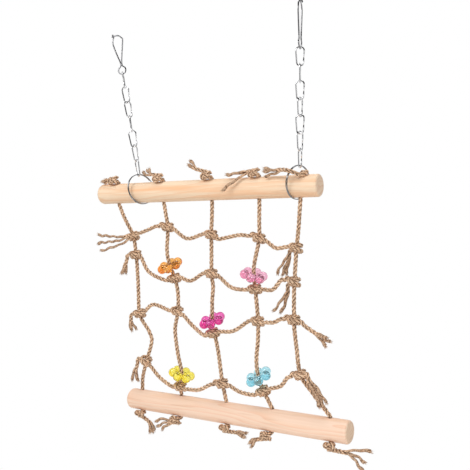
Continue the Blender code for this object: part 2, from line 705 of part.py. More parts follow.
def bead_rise(turn):
    """Least height of a tilted bead above the knot that it sits on, whichever petal is in front."""
    reach = BEAD_PETAL_RADIUS + ROPE_RADIUS + BEAD_CLEARANCE
    rises = []
    for index in range(24):
        angle = 2 * math.pi * index / 24
        petal = turn @ Vector((math.cos(angle), math.sin(angle), 0.0)) * BEAD_PETAL_CIRCLE
        off = -petal.y - WRAP_RADIUS
        if abs(off) < reach:
            rope = WRAP_PITCH / 2 - KNOT_FALL * max(0.0, -petal.x) / KNOT_LEAD
            rises.append(rope - petal.z + math.sqrt(reach**2 - off**2))
    return max(rises)


def bead_place(routes, column, row, right_up, forward, turned):
    """Where a bead sits on its rope, just clear of the knot below, with its spin axis along its own Z."""
    turn = Matrix.Rotation(math.radians(-right_up), 4, "Y") @ Matrix.Rotation(math.radians(forward), 4, "X")
    centre, _ = route_frame(routes[column], KNOT_SHARES[row][column] - bead_rise(turn) / NET_HEIGHT)
    return Matrix.Translation(centre) @ turn @ Matrix.Rotation(math.radians(turned), 4, "Z")


def build_beads(routes):
    for colour, column, row, right_up, forward, turned in BEADS:
        material = make_material(f"{colour}_acrylic", BEAD_COLOURS[colour], 0.05, transmission=0.85)
        name = f"{colour}_flower_bead"
        bead = add_object(name, bead_mesh(name), material, (0.0, 0.0, 0.0))
        bead.matrix_world = bead_place(routes, column, row, right_up, forward, turned)


def main():
    for old in list(bpy.data.objects):
        bpy.data.objects.remove(old, do_unlink=True)
    pine = make_material("pale_pine", (0.85, 0.62, 0.38, 1.0), 0.6)
    jute = make_material("jute_rope", (0.45, 0.28, 0.14, 1.0), 0.9)
    steel = make_material("bright_steel", (0.80, 0.80, 0.82, 1.0), 0.2, metallic=1.0)

    build_hooks(steel)
    build_chains(steel)
    build_rings(steel)

    upper_axis = add_axis("upper_perch_axis", (0.0, 0.0, PERCH_Z))
    net_axis = add_axis("net_swing_axis", (0.0, 0.0, NET_TOP_Z))
    lower_axis = add_axis("lower_perch_axis", LOWER_CENTRE + Vector((0.0, 0.0, HINGE_OFFSET)))
    build_perch("upper_perch", pine, upper_axis, Matrix.Identity(4), UPPER_HOLES)
    lower_place = Matrix.Translation((0.0, 0.0, -HINGE_OFFSET)) @ LOWER_TURN
    build_perch("lower_perch", pine, lower_axis, lower_place, LOWER_HOLES)

    routes = [vertical_route(index) for index in range(len(UPPER_HOLES))]
    build_vertical_ropes(routes, jute, net_axis)
    build_cross_ropes(routes, jute, net_axis)
    build_stoppers(jute, upper_axis, lower_axis)
    build_beads(routes)


main()
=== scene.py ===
"""Looks of the bird climbing net: pine perches, laid jute rope, bright wire and clear acrylic flowers."""
import random
from math import asin, cos, pi, radians, sin, sqrt

import bpy
import numpy as np
from mathutils import Matrix, Vector
from mathutils.geometry import interpolate_bezier


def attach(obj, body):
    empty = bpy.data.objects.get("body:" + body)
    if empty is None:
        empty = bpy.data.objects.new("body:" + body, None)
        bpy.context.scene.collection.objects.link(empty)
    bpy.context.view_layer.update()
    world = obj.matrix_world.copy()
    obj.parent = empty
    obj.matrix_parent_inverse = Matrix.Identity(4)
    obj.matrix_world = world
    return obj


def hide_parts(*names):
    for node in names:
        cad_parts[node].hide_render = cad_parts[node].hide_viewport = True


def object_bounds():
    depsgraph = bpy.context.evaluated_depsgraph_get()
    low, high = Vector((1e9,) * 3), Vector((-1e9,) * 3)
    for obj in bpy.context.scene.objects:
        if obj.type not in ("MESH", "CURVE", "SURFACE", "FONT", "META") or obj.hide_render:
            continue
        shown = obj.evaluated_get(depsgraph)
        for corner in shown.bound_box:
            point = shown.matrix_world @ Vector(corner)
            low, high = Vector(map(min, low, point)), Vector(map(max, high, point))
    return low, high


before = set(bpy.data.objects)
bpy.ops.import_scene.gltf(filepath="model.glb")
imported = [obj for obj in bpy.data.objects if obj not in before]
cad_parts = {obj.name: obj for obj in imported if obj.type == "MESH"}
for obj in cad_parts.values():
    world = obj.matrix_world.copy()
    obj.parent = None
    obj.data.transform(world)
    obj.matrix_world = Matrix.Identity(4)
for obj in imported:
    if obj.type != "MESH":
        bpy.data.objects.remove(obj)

CAD_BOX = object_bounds()
MM = 0.001

# Sizes repeated from the part's source, in metres
SEAT_GAP = 0.3 * MM
WOUND_GAP = 0.45 * MM
PERCH_RADIUS = 12.0 * MM
PERCH_LENGTH = 280.0 * MM
PERCH_SPACING = 243.5 * MM
LOWER_PERCH_SHIFT = 36.0 * MM
LOWER_PERCH_TWIST = radians(-4.5)
UPPER_FIRST_HOLE = -115.0 * MM
UPPER_HOLE_SPAN = 233.2 * MM
UPPER_HOLES = [UPPER_FIRST_HOLE + UPPER_HOLE_SPAN * share for share in (0.0, 0.2744, 0.5489, 0.7976, 1.0)]
LOWER_FIRST_HOLE = -124.4 * MM
LOWER_HOLE_SPAN = 242.8 * MM
LOWER_HOLES = [LOWER_FIRST_HOLE + LOWER_HOLE_SPAN * share for share in (0.0, 0.238, 0.490, 0.727, 1.0)]
ROPE = 4.4 * MM
ROPE_RADIUS = ROPE / 2
HOLE_CLEARANCE = 0.35 * MM
HOLE_RADIUS = ROPE_RADIUS + HOLE_CLEARANCE
WRAP_POINTS = 10
WRAP_RADIUS = (ROPE + SEAT_GAP) / cos(pi / WRAP_POINTS)
WRAP_PITCH = ROPE + 5 * WOUND_GAP
KNOT_LEAD = 2 * ROPE
KNOT_FALL = 0.5 * ROPE
STOPPER_REST = PERCH_RADIUS + SEAT_GAP + ROPE_RADIUS
STOPPER_LAYER = ROPE + 1.5 * WOUND_GAP
STOPPER_BEND = 1.4 * ROPE_RADIUS
STOPPER_RADIUS = 2.45 * ROPE_RADIUS
WIRE = 1.6 * MM
HOOK_HEIGHT = 47.0 * MM
HOOK_EYE_RADIUS = 4.7 * MM
HOOK_EYE_START = 145.0
HOOK_EYE_SWEEP = 250.0
HOOK_WAIST_HEIGHT = 13.0 * MM
HOOK_WAIST_HALF = 1.1 * MM
HOOK_WAIST_STRAIGHT = 2.4 * MM
HOOK_CROWN_HALF = 6.4 * MM
HOOK_CROWN_RISE = 7.5 * MM
HOOK_CROWN_HEIGHT = HOOK_HEIGHT - HOOK_CROWN_RISE
HOOK_TIP_SLOPE = 0.1
LEFT_HOOK_YAW = 20.0
RIGHT_HOOK_YAW = 105.0
GATE_BELLY = 0.62 * HOOK_CROWN_HALF
GATE_CURL_STEP = 34.0
LATCH_REACH = 0.66 * HOOK_CROWN_HALF
LATCH_GAP = 0.4 * MM
LATCH_OVERLAP = 1.8 * MM
LEG_OFFSET = (WIRE + LATCH_GAP) / 2
LINK_COUNT = 7
LINK_LENGTH = 21.3 * MM
LINK_TOP_WIDTH = 10.2 * MM
LINK_BOTTOM_WIDTH = 8.6 * MM
LINK_REACH = LINK_LENGTH - WIRE
LINK_TOP_RADIUS = (LINK_TOP_WIDTH - WIRE) / 2
LINK_BOTTOM_RADIUS = (LINK_BOTTOM_WIDTH - WIRE) / 2
LINK_ADVANCE = LINK_REACH - WIRE - SEAT_GAP
CHAIN_LEAN = radians(11.0)
LEFT_LINK_YAWS = (-60.0, 6.0, 68.0, 130.0, 20.0, 85.0, 150.0)
RIGHT_LINK_YAWS = (28.0, 110.0, 15.0, 80.0, 8.0, 72.0, -45.0)
RING_DIAMETER = 36.0 * MM
RING_WIRE = 1.0 * MM
RING_RADIUS = (RING_DIAMETER - RING_WIRE) / 2
RING_PITCH = RING_WIRE + WOUND_GAP
RING_SEAT = (WIRE + RING_WIRE + RING_PITCH) / 2
RING_SPLIT = radians(35.0)
RING_JOG = radians(25.0)
LEFT_RING_YAW = -20.0
RIGHT_RING_YAW = -18.0
LEFT_RING_FOOT = -79.5 * MM
RIGHT_RING_FOOT = UPPER_HOLES[-1] - 5.0 * MM
RIGHT_RING_LEAN = radians(7.5)
BEAD_PETALS = 6
BEAD_PETAL_RADIUS = 5.2 * MM
BEAD_PETAL_CIRCLE = 10.0 * MM
BEAD_BORE = ROPE_RADIUS + 1.4 * MM
BEAD_CLEARANCE = 0.45 * MM
BEAD_HUB_HALF = 1.9 * MM
BEAD_HUB_REACH = 6.4 * MM
BEAD_SEGMENTS = 150

# Places worked out from these sizes
HINGE_OFFSET = PERCH_RADIUS + 2 * SEAT_GAP
HOOK_SEAT = WIRE + SEAT_GAP
RING_FOOT_DROP = PERCH_RADIUS + SEAT_GAP + RING_WIRE / 2
LEFT_DOWN = Vector((sin(CHAIN_LEAN), 0.0, -cos(CHAIN_LEAN)))
LEFT_TURN = Matrix.Rotation(-CHAIN_LEAN, 4, "Y")
RIGHT_CHAIN_X = RIGHT_RING_FOOT + 2 * RING_RADIUS * sin(RIGHT_RING_LEAN)
RIGHT_DOWN = Vector((-sin(RIGHT_RING_LEAN), 0.0, -cos(RIGHT_RING_LEAN)))
RIGHT_RING_TURN = Matrix.Rotation(RIGHT_RING_LEAN, 4, "Y")
EYE_Z = WIRE / 2 - HOOK_HEIGHT
FIRST_PIVOT_Z = EYE_Z + HOOK_SEAT
RING_PIVOT_TRAVEL = (LINK_COUNT - 1) * LINK_ADVANCE + LINK_REACH - RING_SEAT
RING_PIVOT_Z = FIRST_PIVOT_Z - RING_PIVOT_TRAVEL * cos(CHAIN_LEAN)
PERCH_Z = (RING_PIVOT_Z - 2 * RING_RADIUS * cos(CHAIN_LEAN)
           + RING_PITCH / 2 * sin(CHAIN_LEAN) + RING_FOOT_DROP)
NET_TOP_Z = PERCH_Z - HINGE_OFFSET
NET_HEIGHT = PERCH_SPACING - 2 * HINGE_OFFSET
LEFT_RING_TOP_X = LEFT_RING_FOOT - 2 * RING_RADIUS * sin(CHAIN_LEAN)
LEFT_CHAIN_X = LEFT_RING_TOP_X - RING_PIVOT_TRAVEL * sin(CHAIN_LEAN)
LOWER_TURN = Matrix.Rotation(LOWER_PERCH_TWIST, 4, "Z")
LOWER_CENTRE = Vector((LOWER_PERCH_SHIFT, 0.0, PERCH_Z - PERCH_SPACING))

# Each vertical rope: share of the way down and millimetres sideways
VERTICAL_ROUTES = (
    ((0.078, 6), (0.174, 15), (0.275, 15.5), (0.421, 13.5), (0.591, 10), (0.687, 20.5), (0.742, 22),
     (0.847, 11), (0.934, 3)),
    ((0.064, 1.5), (0.128, 2.5), (0.247, -1.5), (0.321, 0), (0.389, 5), (0.463, 8), (0.568, 5.5),
     (0.664, -0.5), (0.770, 0), (0.884, 3), (0.953, 0.5)),
    ((0.092, -2), (0.169, -4), (0.366, -7), (0.431, -6.5), (0.513, -9), (0.646, -11), (0.697, -7.5),
     (0.797, -5), (0.916, -3)),
    ((0.092, -1.5), (0.188, -3), (0.293, -9.5), (0.353, -12), (0.421, -11.5), (0.513, -10.5),
     (0.591, -10.5), (0.673, -11.5), (0.770, -15), (0.838, -14.5), (0.907, -10.5)),
    ((0.115, -5.3), (0.234, -11.7), (0.394, -19.2), (0.573, -25.4), (0.696, -26.7), (0.825, -26),
     (0.902, -15.5), (0.962, -5.7)),
)

# Each cross rope: its knots' shares of the way down, its spans between knots (share of the way across,
# millimetres up), and its tails in millimetres from the first and last knots. The left tails of ropes 2
# to 4 hang a few millimetres nearer the knots than the solids do
KNOT_SHARES = (
    (0.174, 0.128, 0.169, 0.188, 0.234),
    (0.275, 0.394, 0.366, 0.435, 0.394),
    (0.591, 0.568, 0.664, 0.591, 0.573),
    (0.847, 0.960, 0.916, 0.924, 0.825),
)
SPANS = (
    (((0.5, 2),), ((0.5, -8.5),), ((0.2, -4), (0.62, 2)), ((0.5, -5),)),
    (((0.4, -8.5),), ((0.5, -5),), ((0.5, -6),), ((0.5, -4),)),
    (((0.42, 10),), ((0.48, -3.5),), ((0.5, -3.5),), ((0.5, -1),)),
    (((0.46, -4.5),), ((0.48, -4),), ((0.48, -4),), ((0.52, -2.5),)),
)
LEFT_TAILS = (
    ((-50, -8), (-32, -6.5), (-16, -5)),
    ((-15, -24), (-12.5, -14), (-9.5, -5)),
    ((-5, -22), (-9, -13), (-9, -4)),
    ((-11, -24), (-12.5, -13), (-9.5, -4)),
)
RIGHT_TAILS = (
    ((-11, -10), (-16, -20), (-20, -30)),
    ((-10, -11), (-15, -23), (-21, -34)),
    ((14.5, -5), (28.5, -13), (40.5, -20)),
    ((11, -4), (20, -15), (27, -28)),
)
RIGHT_TAIL_BEHIND = (True, True, False, False)

# Each stopper knot: the way it lies along the perch, whether it passes over itself, and its tail in
# millimetres from the hole's middle: along the perch, towards the viewer, away from the perch
UPPER_STOPPERS = (
    (1, True, ((-16, 5, 15.5), (-22, 5, 16))),
    (1, True, ((-17, 3, 21), (-24, 0, 27))),
    (1, True, ((-19, 4, 24), (-28, 3, 30))),
    (1, True, ((-24, 8, 15.5), (-41, 9, 14))),
    (-1, False, ((-3, 20, 14), (-12, 18.5, 16), (-24, 13.5, 15.5), (-37, 12, 15.5))),
)
LOWER_STOPPERS = (
    (-1, True, ((16, 5.5, 24), (21, 6, 33))),
    (1, True, ((-20, 6, 21), (-30, 6, 27))),
    (-1, True, ((21, 6, 17.5), (31, 7, 17))),
    (1, True, ((-17, 6, 22), (-24, 6, 28))),
    (-1, True, ((24, 6, 19), (35, 6, 22), (46, 6, 28))),
)

# Each bead: colour, its pale and deep shades, vertical rope and cross rope under it (counted from 0), and
# its degrees of tilt up to the right, of tilt towards the viewer and of turn about the rope
BEADS = (
    ("orange", (1.0, 0.60, 0.20), (0.98, 0.42, 0.08), 1, 1, 13.0, 24.0, 43.0),
    ("pink", (1.0, 0.62, 0.76), (0.98, 0.48, 0.66), 3, 1, -18.0, 10.0, 40.0),
    ("magenta", (0.98, 0.28, 0.66), (0.86, 0.08, 0.42), 2, 2, 11.0, 22.5, 45.0),
    ("yellow", (1.0, 0.92, 0.22), (1.0, 0.84, 0.10), 1, 3, -20.0, 4.0, 36.0),
    ("blue", (0.60, 0.90, 0.96), (0.42, 0.80, 0.92), 3, 3, 19.0, 23.5, 48.0),
)

# Rope ends: the open length and the half width of the fan, or where each strand's tip goes, in millimetres
CLOSED = (0.0, 0.0)
LEFT_FANS = ((54, 9.0), (14, 3.0), (14, 3.0), (16, 3.0))
RIGHT_FANS = ((26, 5.0), (28, 5.0), (17, 4.0), (34, 3.2))
UPPER_FANS = ((9, 2.0), (16, 5.0), (10, 2.0), (30, ((0, 0, 2.5), (5, -9, -16), (3, -1, -1))), (24, 4.0))
LOWER_FANS = ((12, 2.5), (22, 6.0), (16, 4.0), (14, 3.0), (30, ((4, 0, 15), (-7, 0, 4), (-10, 0, -6))))

# Looks of the rope
VERTICAL_SEED = 11
CROSS_SEED = 331
UPPER_KNOT_SEED = 51
LOWER_KNOT_SEED = 61
ROUTE_STEP = 1.0 * MM
CURVE_PARTS = 16
TURN_PARTS = 8
ROPE_END_INSET = 1.2 * MM
HITCH_RADIUS = 1.07 * ROPE
LEAD_FALL = 0.2 * ROPE
WIDE_KNOTS = ((1, 3), (4,), (4,), (2, 4))
SIDE_TURN_RADIUS = 0.62 * ROPE
SIDE_TURN_START = 0.95 * KNOT_LEAD
SIDE_TURN_LENGTH = 0.60 * KNOT_LEAD
STOPPER_SPREAD = 0.74 * ROPE_RADIUS
STRANDS = 3
STRAND_OFFSET = 1.24 * MM
STRAND_RADIUS = 1.10 * MM
STRAND_SIDES = 7
STRAND_UNEVEN = 0.10
STRAND_UNEVEN_LENGTH = 23 * MM
LAY = 14.5 * MM
FAN_PLACES = (-1.0, 0.08, 1.0)
CURL_SIZE = 0.9 * MM
CURL_LENGTHS = (10 * MM, 16 * MM)
LOOSE_SWELL = 0.34
LOOSE_DEPTH = 0.76
TIP_STAGGER = 7
TIP_FLARE = 0.35
TIP_FLARE_LENGTH = 6 * MM
TIP_FIBRES = 36
TIP_FIBRE_REACH = (2.5 * MM, 5.5 * MM)
TIP_FIBRE_THICK = (0.13 * MM, 0.24 * MM)
FUZZ_PER_MM = 1.1
FUZZ_REACH = (1.2 * MM, 3.6 * MM)
FUZZ_THICK = (0.04 * MM, 0.07 * MM)
FIBRE_DEPTH = 1.15
ANY_ANGLE = (0, 6.28)
TINY = 1e-9

# Looks of the perches and the wire. A perch's wood is its tone, its pith line, the seed of its grain and
# how streaked it is, and its edges are the rounding of its left and right ends
UPPER_WOOD = ((0.96, 0.75, 0.545), (0.012, -0.034), 1.7, 0.85)
LOWER_WOOD = ((0.96, 0.715, 0.56), (-0.020, 0.026), 4.3, 0.55)
UPPER_PERCH_EDGES = (4.2 * MM, 2.6 * MM)
LOWER_PERCH_EDGES = (3.4 * MM, 3.0 * MM)
PERCH_SEGMENTS = 96
PERCH_STEPS = 70
PERCH_WEAR = 0.25 * MM
RING_WIDTH = 6.5 * MM
RING_WAVES = 6.0
DRILL_REACH = 20 * MM
DRILL_SIDES = 32
WIRE_STEP = 0.8 * MM
WIRE_SIDES = 14
WIRE_END_SHARE = 0.72
LINK_SEAM = 0.012

# Studio, in metres and watts. The camera was fitted to the perches' outlines in the photo
FLOOR_X = 0.01
FLOOR_DROP = 0.26
FLOOR_RADIUS = 0.52
FLOOR_SIDES = 96
FLOOR_FADE = (0.16, 0.46)
LAMP_AIM = (0.02, 0.0, PERCH_Z - 0.10)
LAMPS = (
    ("key_lamp", (-0.45, -1.15, 0.75), 0.9, 11.6),
    ("fill_lamp", (1.25, -0.75, 0.05), 0.9, 3.5),
    ("low_lamp", (0.35, -0.85, -0.95), 0.9, 3.8),
    ("top_lamp", (0.1, 0.35, 0.95), 0.8, 4.4),
)
CAMERA_PLACE = (0.3989, -0.6610, PERCH_Z - 0.0576)
CAMERA_YAW = radians(28.39)
CAMERA_SHIFT = 0.0152
CAMERA_SENSOR = 36.0
FOCAL_PIXELS = 694.7
PHOTO_PIXELS = 470
WHITE = (1.0, 1.0, 1.0)


# Routes
def shares(parts):
    """Even shares from 0 to 1."""
    return [index / parts for index in range(parts + 1)]


def turn_angles(parts):
    """Even angles round one turn."""
    return [2 * pi * index / parts for index in range(parts)]


def length_along(line):
    """How far along a line each of its points is."""
    return np.concatenate([[0.0], np.cumsum(np.linalg.norm(np.diff(line, axis=0), axis=1))])


def even_steps(dense, step):
    """The same line in about equal steps."""
    along = length_along(dense)
    count = max(2, round(along[-1] / step))
    places = np.linspace(0.0, along[-1], count + 1)
    return np.stack([np.interp(places, along, dense[:, axis]) for axis in range(3)], axis=1)


def smooth_route(points, step):
    """The smooth curve through these points, in about equal steps."""
    points = [Vector(point) for point in points]
    padded = [2 * points[0] - points[1], *points, 2 * points[-1] - points[-2]]
    dense = [points[0]]
    for before, start, end, after in zip(padded, points, points[1:], padded[3:]):
        handles = start + (end - before) / 6, end - (after - start) / 6
        dense += interpolate_bezier(start, *handles, end, CURVE_PARTS + 1)[1:]
    return even_steps(np.array(dense), step)


def upper_hole(index, away):
    return Vector((UPPER_HOLES[index], 0.0, PERCH_Z + away))


def lower_hole(index, away):
    return LOWER_CENTRE + LOWER_TURN @ Vector((LOWER_HOLES[index], 0.0, -away))


def vertical_route(index):
    top = upper_hole(index, -HINGE_OFFSET)
    bottom = lower_hole(index, -HINGE_OFFSET)
    middle = []
    for share, stray in VERTICAL_ROUTES[index]:
        middle.append(top.lerp(bottom, share) + Vector((stray * MM, 0.0, 0.0)))
    return smooth_route([top, *middle, bottom], ROUTE_STEP)


def route_frame(route, share):
    """A vertical route's point at this share of the way down, and its upward direction."""
    z = NET_TOP_Z - share * NET_HEIGHT
    index = int(np.argmax(route[:, 2] <= z))
    above = Vector(route[index - 1])
    below = Vector(route[index])
    return above.lerp(below, (above.z - z) / (above.z - below.z)), (above - below).normalized()


def hitch(centre, up, turns):
    """A clove hitch on a vertical rope: two turns, with the pass between them slanted over the front.

    Its rise is in rope diameters and its reach in hitch radii, against the turns made."""
    side = Vector((1.0, 0.0, 0.0))
    side = (side - up * side.dot(up)).normalized()
    front = -up.cross(side)
    turn_at = (0.0, 0.25, 0.5, 0.75, 0.875, 1.0, 1.125, 1.25, 1.5, 1.75, 2.0, 2.25, 2.5)
    rise_at = (0.34, 0.60, 0.82, 0.72, 0.42, 0.0, -0.42, -0.72, -0.82, -0.60, -0.34, -0.55, -0.75)
    reach_at = (1.0, 1.0, 1.0, 1.12, 1.46, 1.68, 1.46, 1.12, 1.0, 1.0, 1.0, 1.0, 1.0)
    points = []
    for share in shares(round(turns * TURN_PARTS)):
        turn = turns * share
        angle = 2 * pi * turn
        reach = HITCH_RADIUS * np.interp(turn, turn_at, reach_at)
        rise = ROPE * np.interp(turn, turn_at, rise_at)
        points.append(centre + (front * cos(angle) + side * sin(angle)) * reach + up * rise)
    return points, side


def side_turn(start, across, up):
    """One turn of the rope round itself beside a hitch, for a wider knot."""
    front = up.cross(across).normalized()
    points = []
    for share in shares(TURN_PARTS):
        angle = 2 * pi * share
        along = start - across * (SIDE_TURN_START - SIDE_TURN_LENGTH * share)
        points.append(along + (up * sin(angle) + front * (1 - cos(angle))) * SIDE_TURN_RADIUS)
    return points


def knot_points(row, column, centre, up, ends_behind):
    """One knot of a cross rope, with its leads on both sides."""
    knot, across = hitch(centre, up, 2.5 if ends_behind else 2.0)
    lead = across * KNOT_LEAD
    fall = up * LEAD_FALL
    if column in WIDE_KNOTS[row]:
        points = [knot[0] - 1.5 * lead, *side_turn(knot[0], across, up), *knot[1:]]
    else:
        points = [knot[0] - lead - fall, *knot]
    points.append(knot[-1] - lead if ends_behind else knot[-1] + lead + fall)
    return points


def cross_route(row, routes):
    """One cross rope: left tail, a hitch on each vertical rope with spans between, right tail."""
    knots = [route_frame(route, share) for route, share in zip(routes, KNOT_SHARES[row])]
    behind = RIGHT_TAIL_BEHIND[row]
    first = knots[0][0]
    final = len(knots) - 1
    points = [first + Vector((x * MM, -WRAP_RADIUS, z * MM)) for x, z in LEFT_TAILS[row]]
    for column, (centre, up) in enumerate(knots):
        points += knot_points(row, column, centre, up, behind and column == final)
        if column < final:
            following = knots[column + 1][0]
            for share, rise in SPANS[row][column]:
                points.append(centre.lerp(following, share) + Vector((0.0, -WRAP_RADIUS, rise * MM)))
    depth = WRAP_RADIUS if behind else -WRAP_RADIUS
    points += [knots[final][0] + Vector((x * MM, depth, z * MM)) for x, z in RIGHT_TAILS[row]]
    return smooth_route(points, ROUTE_STEP)


def on_perch(along, around, layer):
    """A point of a rope laid on a perch, in its hole's frame: along the perch, towards the viewer, away."""
    angle = around / STOPPER_REST
    away = STOPPER_REST + STOPPER_LAYER * layer
    return Vector((along, away * sin(angle), away * cos(angle)))


def half_turn():
    """An open stopper's bend on its perch: along it, around it and in which layer."""
    angles = [radians(degrees) for degrees in (240, 210, 180, 150, 120, 90)]
    return [(STOPPER_RADIUS * cos(angle) - STOPPER_BEND, STOPPER_RADIUS * (1 + sin(angle)), 0.0)
            for angle in angles]


def overhand_knot():
    """An overhand knot on its perch, as a trefoil with an opening for its two ends."""
    opening = 0.3
    coil = []
    for share in shares(24):
        angle = pi + opening + 2 * (pi - opening) * share
        along = -STOPPER_SPREAD * (sin(angle) + 2 * sin(2 * angle)) - STOPPER_BEND
        around = 1.2 * STOPPER_RADIUS + STOPPER_SPREAD * (cos(angle) - 2 * cos(2 * angle))
        layer = 0.45 + 0.4 * sin(3 * angle) + 0.3 * (share - 0.5)
        coil.append((along, around, layer))
    return coil


def stopper_route(hand, over, tail):
    """A rope end through its hole with its stopper knot and tail, in the hole's frame."""
    points = [Vector((0.0, 0.0, height)) for height in (SEAT_GAP + ROPE_RADIUS - HINGE_OFFSET, 0.0)]
    for degrees in (0.0, 45.0, 90.0):
        angle = radians(degrees)
        along = STOPPER_BEND * (cos(angle) - 1)
        points.append(Vector((hand * along, 0.0, STOPPER_REST + STOPPER_BEND * (sin(angle) - 1))))
    coil = overhand_knot() if over else half_turn()
    points += [on_perch(hand * along, around, layer) for along, around, layer in coil]
    return points + [Vector(point) * MM for point in tail]


def bead_place(routes, column, row, right_up, forward, turned):
    """Where a bead sits on its rope, just clear of the knot below."""
    turn = Matrix.Rotation(radians(-right_up), 4, "Y") @ Matrix.Rotation(radians(forward), 4, "X")
    reach = BEAD_PETAL_RADIUS + ROPE_RADIUS + BEAD_CLEARANCE
    rises = []
    for angle in turn_angles(24):
        petal = turn @ Vector((cos(angle), sin(angle), 0.0)) * BEAD_PETAL_CIRCLE
        off = -petal.y - WRAP_RADIUS
        if abs(off) < reach:
            rope = WRAP_PITCH / 2 - KNOT_FALL * max(0.0, -petal.x) / KNOT_LEAD
            rises.append(rope - petal.z + sqrt(reach**2 - off**2))
    centre, _ = route_frame(routes[column], KNOT_SHARES[row][column] - max(rises) / NET_HEIGHT)
    return Matrix.Translation(centre) @ turn @ Matrix.Rotation(radians(turned), 4, "Z")


# Tubes and ropes
def transport(points):
    """Unit tangents of a line, with two cross directions carried along it without twist."""
    tangents = np.gradient(points, axis=0)
    tangents /= np.linalg.norm(tangents, axis=1, keepdims=True)
    normal = np.eye(3)[np.argmin(np.abs(tangents[0]))]
    normals = []
    for tangent in tangents:
        normal = normal - tangent * (normal @ tangent)
        normal = normal / np.linalg.norm(normal)
        normals.append(normal)
    normals = np.array(normals)
    return tangents, normals, np.cross(tangents, normals)


def quads(rings, sides):
    """Faces between rings of points, as the numbers of their corners."""
    faces = []
    for ring in range(rings - 1):
        low, high = ring * sides, (ring + 1) * sides
        for place in range(sides):
            after = (place + 1) % sides
            faces.append((low + place, low + after, high + after, high + place))
    return faces


def smooth_mesh(name, points, faces):
    mesh = bpy.data.meshes.new(name)
    mesh.from_pydata(points, [], faces)
    mesh.shade_smooth()
    return mesh


class Form:
    """Gathers tubes into one mesh, with UVs (share of the way round, millimetres along) and depths, which
    set the rope's painted groove shade.
    """

    def __init__(self):
        self.points = []
        self.faces = []
        self.uvs = []
        self.depths = []
        self.count = 0

    def add(self, points, faces, uvs, depths):
        self.points.append(points)
        self.faces += [tuple(index + self.count for index in face) for face in faces]
        self.uvs += uvs
        self.depths.append(depths)
        self.count += len(points)

    def tube(self, line, radii, sides, mark=0.0, axis=None, reach=1.0, loose=0.0):
        """A round tube. Depth is how far each point lies from the axis line, as a share of reach,
        and nears LOOSE_DEPTH where the tube is loose from it."""
        line = np.asarray(line, float)
        radii = np.broadcast_to(radii, len(line))
        _, normals, across = transport(line)
        angles = np.array(turn_angles(sides))
        rim = normals[:, None] * np.cos(angles)[None, :, None]
        rim = rim + across[:, None] * np.sin(angles)[None, :, None]
        points = line[:, None] + rim * radii[:, None, None]
        along = (length_along(line) / MM + mark).tolist()
        uvs = []
        for low, high in zip(along, along[1:]):
            for place in range(sides):
                left, right = place / sides, (place + 1) / sides
                uvs += [(left, low), (right, low), (right, high), (left, high)]
        last = (len(line) - 1) * sides
        faces = quads(len(line), sides) + [tuple(reversed(range(sides))), tuple(range(last, last + sides))]
        uvs += [(0.5, along[0])] * sides + [(0.5, along[-1])] * sides
        depths = np.ones(points.shape[:2])
        if axis is not None:
            depths = np.linalg.norm(points - axis[:, None], axis=2) / reach
            depths = depths + (LOOSE_DEPTH - depths) * np.broadcast_to(loose, len(line))[:, None]
        self.add(points.reshape(-1, 3), faces, uvs, depths.reshape(-1))

    def fibre(self, start, middle, end, thick, mark):
        """One loose fibre, as a thin bent spike of three sides."""
        line = np.array([start, middle, end])
        _, normals, across = transport(line)
        points = []
        for ring, scale in ((0, 1.0), (1, 0.75)):
            for angle in (0.0, 2.1, 4.2):
                rim = normals[ring] * cos(angle) + across[ring] * sin(angle)
                points.append(line[ring] + rim * thick * scale)
        points.append(line[2])
        faces = quads(2, 3) + [(3 + place, 3 + (place + 1) % 3, 6) for place in range(3)]
        uvs = [(0.3, mark), (0.35, mark), (0.35, mark + 2), (0.3, mark + 2)] * 3
        uvs += [(0.3, mark + 2), (0.35, mark + 2), (0.32, mark + 3)] * 3
        self.add(np.array(points), faces, uvs, np.full(len(points), FIBRE_DEPTH))

    def mesh(self, name):
        mesh = smooth_mesh(name, np.concatenate(self.points).tolist(), self.faces)
        layer = mesh.uv_layers.new(name="lay")
        layer.data.foreach_set("uv", np.array(self.uvs, np.float32).reshape(-1))
        depth = mesh.attributes.new("depth", "FLOAT", "POINT")
        depth.data.foreach_set("value", np.concatenate(self.depths).astype(np.float32))
        return mesh


def open_share(far, length):
    """How open a rope is this far from its end: 0 where it is laid, up to 1 at the tip."""
    return np.clip(1 - far / (length * MM + TINY), 0, 1) * (length > 0)


def fan_offset(spread, strand, place, share, sideways, dice):
    """How far a strand stands off its rope at an open end."""
    sag = np.array([0.0, dice.uniform(-1.6, 1.6), dice.uniform(-1.5, 1.0)]) * MM
    if isinstance(spread, tuple):
        level = np.ones_like(share)
        fan = np.array(spread[strand]) * MM * np.stack([level, 2 - share, level], axis=1)
    else:
        fan = sideways * (place * dice.uniform(0.8, 1.15) * spread * MM)
    return (fan + sag) * share[:, None]


def add_fuzz(form, line, radii, route, count, mark, dice):
    """Short fibres all along a strand, leaning away from the rope's middle."""
    headings, normals, across = transport(line)
    for _ in range(count):
        index = dice.randrange(len(line))
        turn = dice.uniform(*ANY_ANGLE)
        outward = normals[index] * cos(turn) + across[index] * sin(turn)
        if outward @ (line[index] - route[index]) < 0:
            outward = -outward
        heading = headings[index] * dice.choice((-1, 1))
        reach = dice.uniform(*FUZZ_REACH)
        base = line[index] + outward * radii[index] * 0.9
        bent = base + (heading * 0.8 + outward * dice.uniform(0.15, 0.5)) * reach * 0.55
        tip = bent + (heading * dice.uniform(0.2, 0.8) + outward * dice.uniform(0.2, 0.9)) * reach * 0.5
        form.fibre(base, bent, tip, dice.uniform(*FUZZ_THICK), mark + 40 * dice.random())


